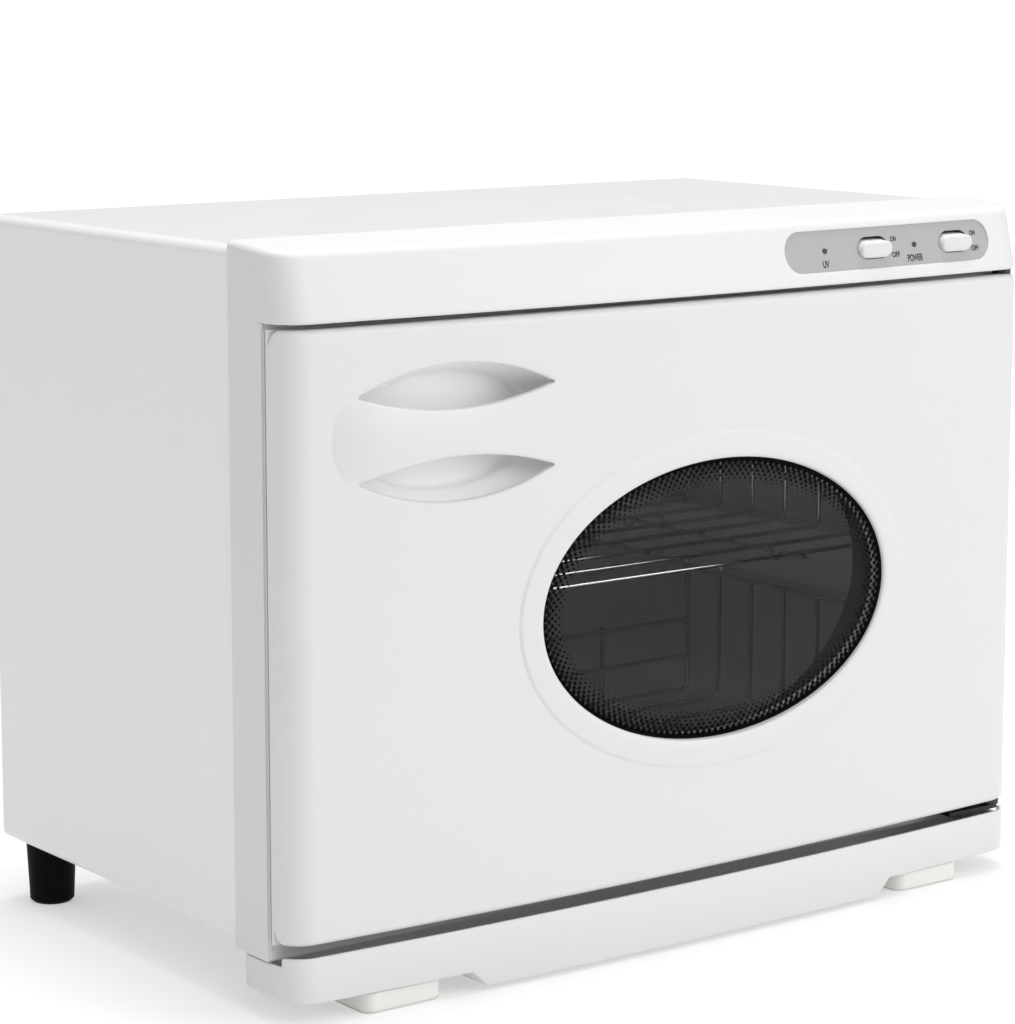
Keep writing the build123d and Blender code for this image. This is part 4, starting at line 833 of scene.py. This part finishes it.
def shell_point(s, v, lift=0.0, depth=0.0):
    """Point on the door at s along its plan and v up its height, raised or sunk by these."""
    at, normal = plan_point(s)
    if v < rim_length:
        angle = pi / 2 - v / RIM
        inset, z = RIM * (1 - cos(angle)), shell_low.z + RIM * (1 - sin(angle))
        normal = Vector((normal.x * cos(angle), normal.y * cos(angle), -sin(angle)))
    elif v > face_rise - rim_length:
        angle = (v - face_rise + rim_length) / RIM
        inset, z = RIM * (1 - cos(angle)), shell_high.z - RIM * (1 - sin(angle))
        normal = Vector((normal.x * cos(angle), normal.y * cos(angle), sin(angle)))
    else:
        inset, z = 0.0, shell_low.z + RIM + v - rim_length
    short = min(max(CORNER - door_reach + abs(s), 0.0), CORNER)
    drop = CORNER - sqrt(CORNER**2 - short**2)
    middle = (shell_low.z + shell_high.z) / 2
    z = middle + (z - middle) * (1 - 2 * drop / door_height)
    flat = plan_point(s)[1]
    at = Vector((at.x - inset * flat.x, at.y - inset * flat.y, z)) + (lift - depth) * normal
    if at.x > PIN.x and at.y > PIN.y:
        out = Vector((at.x - PIN.x, at.y - PIN.y))
        if out.length > SWING - depth:
            out *= (SWING - depth) / out.length
            at.x, at.y = PIN.x + out.x, PIN.y + out.y
    at.y = min(at.y, shell_high.y)
    return at


def on_face(x, z):
    """Distances s and v of the point of the face in front of x and z."""
    return BOW_RADIUS * asin(x / BOW_RADIUS), z - shell_low.z - RIM + rim_length


def grip_lift(x, z):
    """How far the grip swells out between the pockets: creased at its left end, fading right."""
    x, z = x - HANDLE_X, abs(z - HANDLE_Z)
    half, tip = POCKET_TIP
    from_end, from_top = x + GRIP_WIDE, x + GRIP_WIDE - GRIP_SLOPE
    if from_end <= 0 or from_top >= GRIP_FADE:
        return 0.0
    if x < -half:
        edge = tip * sqrt(1 - ((x + half) / GRIP_END) ** 2)
    else:
        edge = POCKET_TOP - POCKET_OUTER + sqrt(POCKET_OUTER**2 - min(abs(x), half) ** 2)
    edge = min(edge, GRIP_HIGH)
    if from_top < 0:
        crown = 1 - (from_top / GRIP_SLOPE) ** 2
    else:
        crown = cos(pi / 2 * from_top / GRIP_FADE) ** 2
    return GRIP_RISE * crown * max(1 - (z / max(edge, LEAST)) ** 2, 0.0)


def ring_lift(grow):
    """How far the window's ring stands out of the face, this far outside the opening."""
    short = max(1 - grow / RING_LIP, 0.0)
    across = min(grow / (RING_WIDTH - RING_FOOT), 1.0)
    crest = RING_RISE * (RING_BULGE + (1 - RING_BULGE) * across)
    foot = min(max((RING_WIDTH - grow) / RING_FOOT, 0.0), 1.0)
    return crest * sin(foot * pi / 2) - RING_LIP_DROP * (1 - sqrt(1 - short**2))


def window_loop(grow, count=190):
    """Points round the window's opening, grown by this much."""
    wide, high = WINDOW_WIDE + grow, WINDOW_HIGH + grow
    turns = [2 * pi * i / count for i in range(count)]
    return [(WINDOW_X + wide * cos(t), WINDOW_Z + high * sin(t)) for t in turns]


def pocket_loop(sign, grow):
    """Outline of a pocket, grown by this much: two arcs joined by small round tips."""
    outer, inner = POCKET_OUTER - TIP_RADIUS, POCKET_INNER - TIP_RADIUS
    outer_z, inner_z = POCKET_TOP - POCKET_OUTER, POCKET_WAIST + POCKET_INNER
    apart = inner_z - outer_z
    up = (apart**2 + outer**2 - inner**2) / (2 * apart)
    core_x, core_z = sqrt(outer**2 - up**2), outer_z + up
    lean_out, lean_in = asin(core_x / outer), asin(core_x / inner)
    reach = TIP_RADIUS + grow
    arc_steps, tip_steps = 56, 8
    points = []
    for step in range(arc_steps):
        angle = lean_out * (1 - 2 * step / arc_steps)
        points.append(((outer + reach) * sin(angle), outer_z + (outer + reach) * cos(angle)))
    for step in range(tip_steps):
        angle = pi / 2 + lean_out + (pi - lean_out - lean_in) * step / tip_steps
        points.append((-core_x + reach * cos(angle), core_z + reach * sin(angle)))
    for step in range(arc_steps):
        angle = lean_in * (2 * step / arc_steps - 1)
        points.append(((inner + reach) * sin(angle), inner_z - (inner + reach) * cos(angle)))
    for step in range(tip_steps):
        angle = -pi / 2 + lean_in + (pi - lean_out - lean_in) * step / tip_steps
        points.append((core_x + reach * cos(angle), core_z + reach * sin(angle)))
    return [(HANDLE_X + x, HANDLE_Z + sign * z) for x, z in points]


def in_window(x, z, grow):
    """Whether a point lies in the window's opening, grown by this much."""
    wide, high = WINDOW_WIDE + grow, WINDOW_HIGH + grow
    return ((x - WINDOW_X) / wide) ** 2 + ((z - WINDOW_Z) / high) ** 2 < 1


def in_pocket(x, z, sign, grow):
    """Whether a point lies in the upper or lower pocket, grown by this much."""
    across, up = x - HANDLE_X, sign * (z - HANDLE_Z)
    in_outer = hypot(across, up - POCKET_TOP + POCKET_OUTER) < POCKET_OUTER + grow
    return in_outer and hypot(across, up - POCKET_WAIST - POCKET_INNER) < POCKET_INNER + grow


def at_grip_end(x, z):
    """Whether a point lies where the grip's left edge turns down to the face."""
    x, z = x - HANDLE_X + POCKET_TIP[0], z - HANDLE_Z
    reach = hypot(x / GRIP_END, z / POCKET_TIP[1])
    return GRIP_END_LOW < reach < GRIP_END_HIGH and x < 0 and abs(z) < -GRIP_END_WIDE * x


def grip_end_line(inset):
    """Points along the grip's left edge, drawn in by this share of it."""
    points = []
    start, sweep = GRIP_END_TURN
    line_steps = 48
    for step in range(line_steps + 1):
        turn = start + sweep * step / line_steps
        x = HANDLE_X - POCKET_TIP[0] + (1 - inset) * GRIP_END * cos(turn)
        points.append((x, HANDLE_Z + (1 - inset) * POCKET_TIP[1] * sin(turn)))
    return points


def door_moulding():
    """The door's shell, laid out over its plan's length and its height."""
    flat, front, back, fences = [], [], [], []

    def add(s, v, lift, glass_near=False):
        inner = shell_point(s, v, 0.0, WALL)
        if glass_near:
            inner.y = min(inner.y, glass_low.y - GLASS_SLACK)
        flat.append(Vector((s, v)))
        front.append(shell_point(s, v, lift))
        back.append(inner)

    columns = steps(-door_reach, -bow_length, FINE)[:-1] + steps(-bow_length, bow_length, COARSE)
    columns += steps(bow_length, door_reach, FINE)[1:]
    face_top = face_rise - rim_length
    rows = steps(0.0, rim_length, RIM_STEP)[:-1] + steps(rim_length, face_top, COARSE)
    rows += steps(face_top, face_rise, RIM_STEP)[1:]
    left, low = on_face(HANDLE_X - HANDLE_AREA[0], HANDLE_Z - HANDLE_AREA[1])
    right, high = on_face(HANDLE_X + HANDLE_AREA[0], HANDLE_Z + HANDLE_AREA[1])
    grid = [(s, v) for s in columns for v in rows if not (left < s < right and low < v < high)]
    grid += [(s, v) for s in steps(left, right, FINE) for v in steps(low, high, FINE)]
    for inset in GRIP_LOOPS:
        start = len(flat)
        for x, z in grip_end_line(inset):
            add(*on_face(x, z), grip_lift(x, z))
        fences += [(i, i + 1) for i in range(start, len(flat) - 1)]
    for s, v in grid:
        at = shell_point(s, v)
        near = in_window(at.x, at.z, RING_CLEAR) or at_grip_end(at.x, at.z)
        if not near and not any(in_pocket(at.x, at.z, sign, POCKET_CLEAR) for sign in (-1, 1)):
            add(s, v, grip_lift(at.x, at.z))
    for grow in (loop * MM for loop in RING_LOOPS):
        start = len(flat)
        for x, z in window_loop(grow):
            add(*on_face(x, z), ring_lift(grow), grow < GLASS_REACH)
        fences += ring_of(start, len(flat) - start)
    for sign in (-1, 1):
        for grow in (loop * MM for loop in POCKET_LOOPS):
            start = len(flat)
            short = max(POCKET_LIP - grow, 0.0)
            drop = POCKET_LIP - sqrt(POCKET_LIP**2 - short**2)
            for x, z in pocket_loop(sign, grow):
                add(*on_face(x, z), grip_lift(x, z) - drop)
            fences += ring_of(start, len(flat) - start)

    def is_open(s, v):
        at = shell_point(s, v)
        pockets = (in_pocket(at.x, at.z, sign, -INSIDE) for sign in (-1, 1))
        return in_window(at.x, at.z, -INSIDE) or any(pockets)

    return two_skins("door", flat, fences, front, back, is_open)


fit(settle(door_moulding(), "door_moulding", 42), "door", "white_plastic", moulded, "door_shell")

# ---- Cup behind the grip ----
# A scooped white dish held against the back of the door's face, so that the fingers that
# pass through the openings meet a closed, smooth hollow. Its sides lean in to an oval floor.
CUP_WALL, CUP_FILLET, CUP_FADE = 2.0 * MM, 3.0 * MM, 1.5
CUP_FRONT = (56.0 * MM, 32.0 * MM, 3.6)
CUP_FLOOR = (49.5 * MM, 27.0 * MM, 2.1)
CUP_BEHIND, CUP_SHORT = 2.4 * MM, 8.5 * MM
wall_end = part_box("handle_cup")[1].y - CUP_SHORT - CUP_FILLET


def cup_dish():
    """Rings of one outline after another, rim to floor, each extruded from the last."""
    count, wall_steps, fillet_steps = 96, 10, 5
    bpy.ops.mesh.primitive_circle_add(vertices=count, radius=1.0, location=(0, 0, 0))
    dish = bpy.context.object
    levels = [(i / wall_steps, 0.0) for i in range(wall_steps)]
    levels += [(1.0, radians(90) * i / fillet_steps) for i in range(fillet_steps + 1)]
    for number, (level, turn) in enumerate(levels):
        if number:
            edit()
            bpy.ops.mesh.extrude_region_move(TRANSFORM_OT_translate={"value": (0, 0, 0)})
            edit(False)
        fade = level**CUP_FADE
        wide, high, power = (a + (b - a) * fade for a, b in zip(CUP_FRONT, CUP_FLOOR))
        inset = CUP_FILLET * (1 - cos(turn))
        for vertex in dish.data.vertices:
            if not vertex.select:
                continue
            angle = 2 * pi * (vertex.index % count) / count
            reach = (abs(cos(angle)) ** power + abs(sin(angle)) ** power) ** (-1 / power)
            x = HANDLE_X + (wide - inset) * reach * cos(angle)
            rim_y = bow_y(x) + CUP_BEHIND
            y = rim_y + level * (wall_end - rim_y) + CUP_FILLET * sin(turn)
            vertex.co = (x, y, HANDLE_Z + (high - inset) * reach * sin(angle))
    edit()
    bpy.ops.mesh.edge_face_add()
    bpy.ops.mesh.select_all(action="SELECT")
    bpy.ops.mesh.normals_make_consistent(inside=False)
    edit(False)
    return dish


cup = cup_dish()
floor_face = max(cup.data.polygons, key=lambda polygon: len(polygon.vertices))
if floor_face.normal.y > 0:
    cup.data.flip_normals()
apply_modifier(cup, "SOLIDIFY", thickness=CUP_WALL, offset=-1.0)
# The cup is the door's white plastic, given a brighter copy of it: painted light that stands in for
# the light the deep hollow behind the grip doesn't get.
cup_white_painted_light = Finish("cup_white_painted_light", (0.92, 0.92, 0.92), 0.45)
cup_white_painted_light.set("Roughness", 0.42 + 0.06 * cup_white_painted_light.grain(80.0))
fit(settle(cup, "cup_moulding", 50), "door", "white_plastic", cup_white_painted_light, "handle_cup")

# ---- Inner panel and its window trim ----
# A thin white moulding closes the door's back and enters the chamber. A white ring clamps
# the pane, and a dark rubber trim lines the window's collar.
dress(holder_white, "window_retainer")
COLLAR_FLARE, COLLAR_REACH, COLLAR_SHORT = 13.0 * MM, 9.0 * MM, 0.7 * MM
collar_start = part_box("window_retainer")[1].y
collar_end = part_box("door_inner_panel")[1].y - COLLAR_SHORT
TRIM_WALL, TRIM_GAP, TRIM_SIDES = 0.6 * MM, 0.1 * MM, 144


def flare(piece):
    """Widen the window's collar towards its inner end, so that more of the chamber shows."""
    for vertex in piece.data.vertices:
        at = vertex.co
        share = min((at.y - collar_start) / (collar_end - collar_start), 1.0)
        if share > 0 and in_window(at.x, at.z, COLLAR_REACH):
            across, up = at.x - WINDOW_X, at.z - WINDOW_Z
            at.x += across * COLLAR_FLARE * share / WINDOW_WIDE
            at.z += up * COLLAR_FLARE * share / WINDOW_HIGH
    return piece


panel = settle(flare(merged_copy("door_inner_panel")), "door_inner_panel_moulding", 30)
fit(panel, "door", "white_plastic", moulded, "door_inner_panel")


def oval_sleeve(outside, wall, front_y, back_y):
    """Thin oval sleeve whose outer side lies this far outside the window's opening."""
    bpy.ops.mesh.primitive_cylinder_add(
        vertices=TRIM_SIDES, radius=1.0, depth=back_y - front_y, end_fill_type="NOTHING",
        location=(WINDOW_X, (front_y + back_y) / 2, WINDOW_Z), rotation=(radians(90), 0, 0),
    )
    sleeve = bpy.context.object
    sleeve.scale = (WINDOW_WIDE + outside, WINDOW_HIGH + outside, 1.0)
    bpy.ops.object.transform_apply()
    apply_modifier(sleeve, "SOLIDIFY", thickness=wall, offset=-1.0, use_even_offset=True)
    return sleeve


trim = oval_sleeve(-TRIM_GAP, TRIM_WALL, glass_high.y + TRIM_GAP, collar_end)
dark_rubber = Finish("dark_sleeve", (0.065, 0.065, 0.067), 0.7)
dark_rubber.bump(dark_rubber.grain(900.0), 0.03)
fit(settle(flare(trim), "window_trim"), "door", "gasket_rubber", dark_rubber)

# ---- Window pane and its printed border ----
# An oval of smoke-tinted glass; a black border is printed around it, which breaks up inwards
# into rows of round dots that shrink row by row.
smoke = Finish("smoked_glass", (0.006, 0.006, 0.006), 0.03, alpha=0.17)
smoke.set("Roughness", 0.02 + 0.02 * smoke.grain(20.0))
dress(smoke, "window_glass")
border_ink = Finish("printed_border", (0.006, 0.006, 0.006), 0.7, metallic=1.0)
border_ink.set("Roughness", 0.65 + 0.1 * border_ink.grain(900.0))
BAND, BAND_OVER, BAND_SIDES = 2.4 * MM, 1.5 * MM, 192
DOTS, DOT_ROWS, DOT_PITCH, DOT_START = 143, 6, 1.9 * MM, 0.5 * MM
DOT_RADIUS, DOT_SHRINK, DOT_SIDES, DOT_PACE = 1.35 * MM, 0.19 * MM, 8, 0.002
INK_GAP = 0.06 * MM
dot_face = glass_low.y - INK_GAP


def border_band():
    """A flat oval ring, whose inner loop is extruded from the outer one and drawn in."""
    bpy.ops.mesh.primitive_circle_add(
        vertices=BAND_SIDES, radius=1.0,
        location=(WINDOW_X, dot_face, WINDOW_Z), rotation=(radians(90), 0, 0),
    )
    band = bpy.context.object
    band.scale = (WINDOW_WIDE + BAND_OVER, WINDOW_HIGH + BAND_OVER, 1.0)
    bpy.ops.object.transform_apply()
    edit()
    bpy.ops.mesh.select_all(action="SELECT")
    bpy.ops.mesh.extrude_region_move(TRANSFORM_OT_translate={"value": (0, 0, 0)})
    edit(False)
    wide, high = WINDOW_WIDE - BAND, WINDOW_HIGH - BAND
    for vertex in band.data.vertices:
        if vertex.select:
            at = vertex.co
            angle = atan2((at.z - WINDOW_Z) / WINDOW_HIGH, (at.x - WINDOW_X) / WINDOW_WIDE)
            at.x, at.z = WINDOW_X + wide * cos(angle), WINDOW_Z + high * sin(angle)
    return band


def border_dots():
    """Rows of dots inside the band, each row half a step on from the last."""
    points, faces = [], []
    for row in range(DOT_ROWS):
        radius = DOT_RADIUS - row * DOT_SHRINK
        inset = BAND + DOT_START + row * DOT_PITCH
        wide, high = WINDOW_WIDE - inset, WINDOW_HIGH - inset
        perimeter = pi * (3 * (wide + high) - sqrt((3 * wide + high) * (wide + 3 * high)))
        walked, angle = 0.0, 0.0
        for index in range(DOTS):
            while walked < (index + row % 2 / 2) * perimeter / DOTS:
                walked += hypot(wide * sin(angle), high * cos(angle)) * DOT_PACE
                angle += DOT_PACE
            x, z = WINDOW_X + wide * cos(angle), WINDOW_Z + high * sin(angle)
            start = len(points)
            for corner in range(DOT_SIDES):
                turn = 2 * pi * corner / DOT_SIDES
                points.append((x + radius * cos(turn), dot_face, z + radius * sin(turn)))
            faces.append(tuple(range(start, start + DOT_SIDES)))
    return new_piece("dots", points, [], faces)


border = join([border_band(), border_dots()])
fit(settle(border, "window_border"), "door", "switch_black", border_ink)

# ---- Door gasket ----
# A dark soft seal around the plug, which closes against the frame's face.
seal = Finish("dark_seal", (0.03, 0.03, 0.03), 0.75)
seal.bump(seal.grain(500.0), 0.05)
dress(seal, "door_gasket")

# ---- Hinge and catch ----
# Blackened steel brackets and bright pins in dark plastic bushes at the right, and a magnet
# in the frame that holds a steel strip on the door's back at the left.
blackened = Finish("blackened_steel", (0.035, 0.035, 0.037), 0.38, metallic=0.8)
blackened.set("Roughness", 0.34 + 0.12 * blackened.grain(500.0))
dress(blackened, "hinge_bracket_lower", "hinge_bracket_upper")
dress(zinc, "striker_plate", "hinge_pin_lower", "hinge_pin_upper")
dress(black_plastic, "hinge_bushes")
dress(black_plastic, "door_magnet")
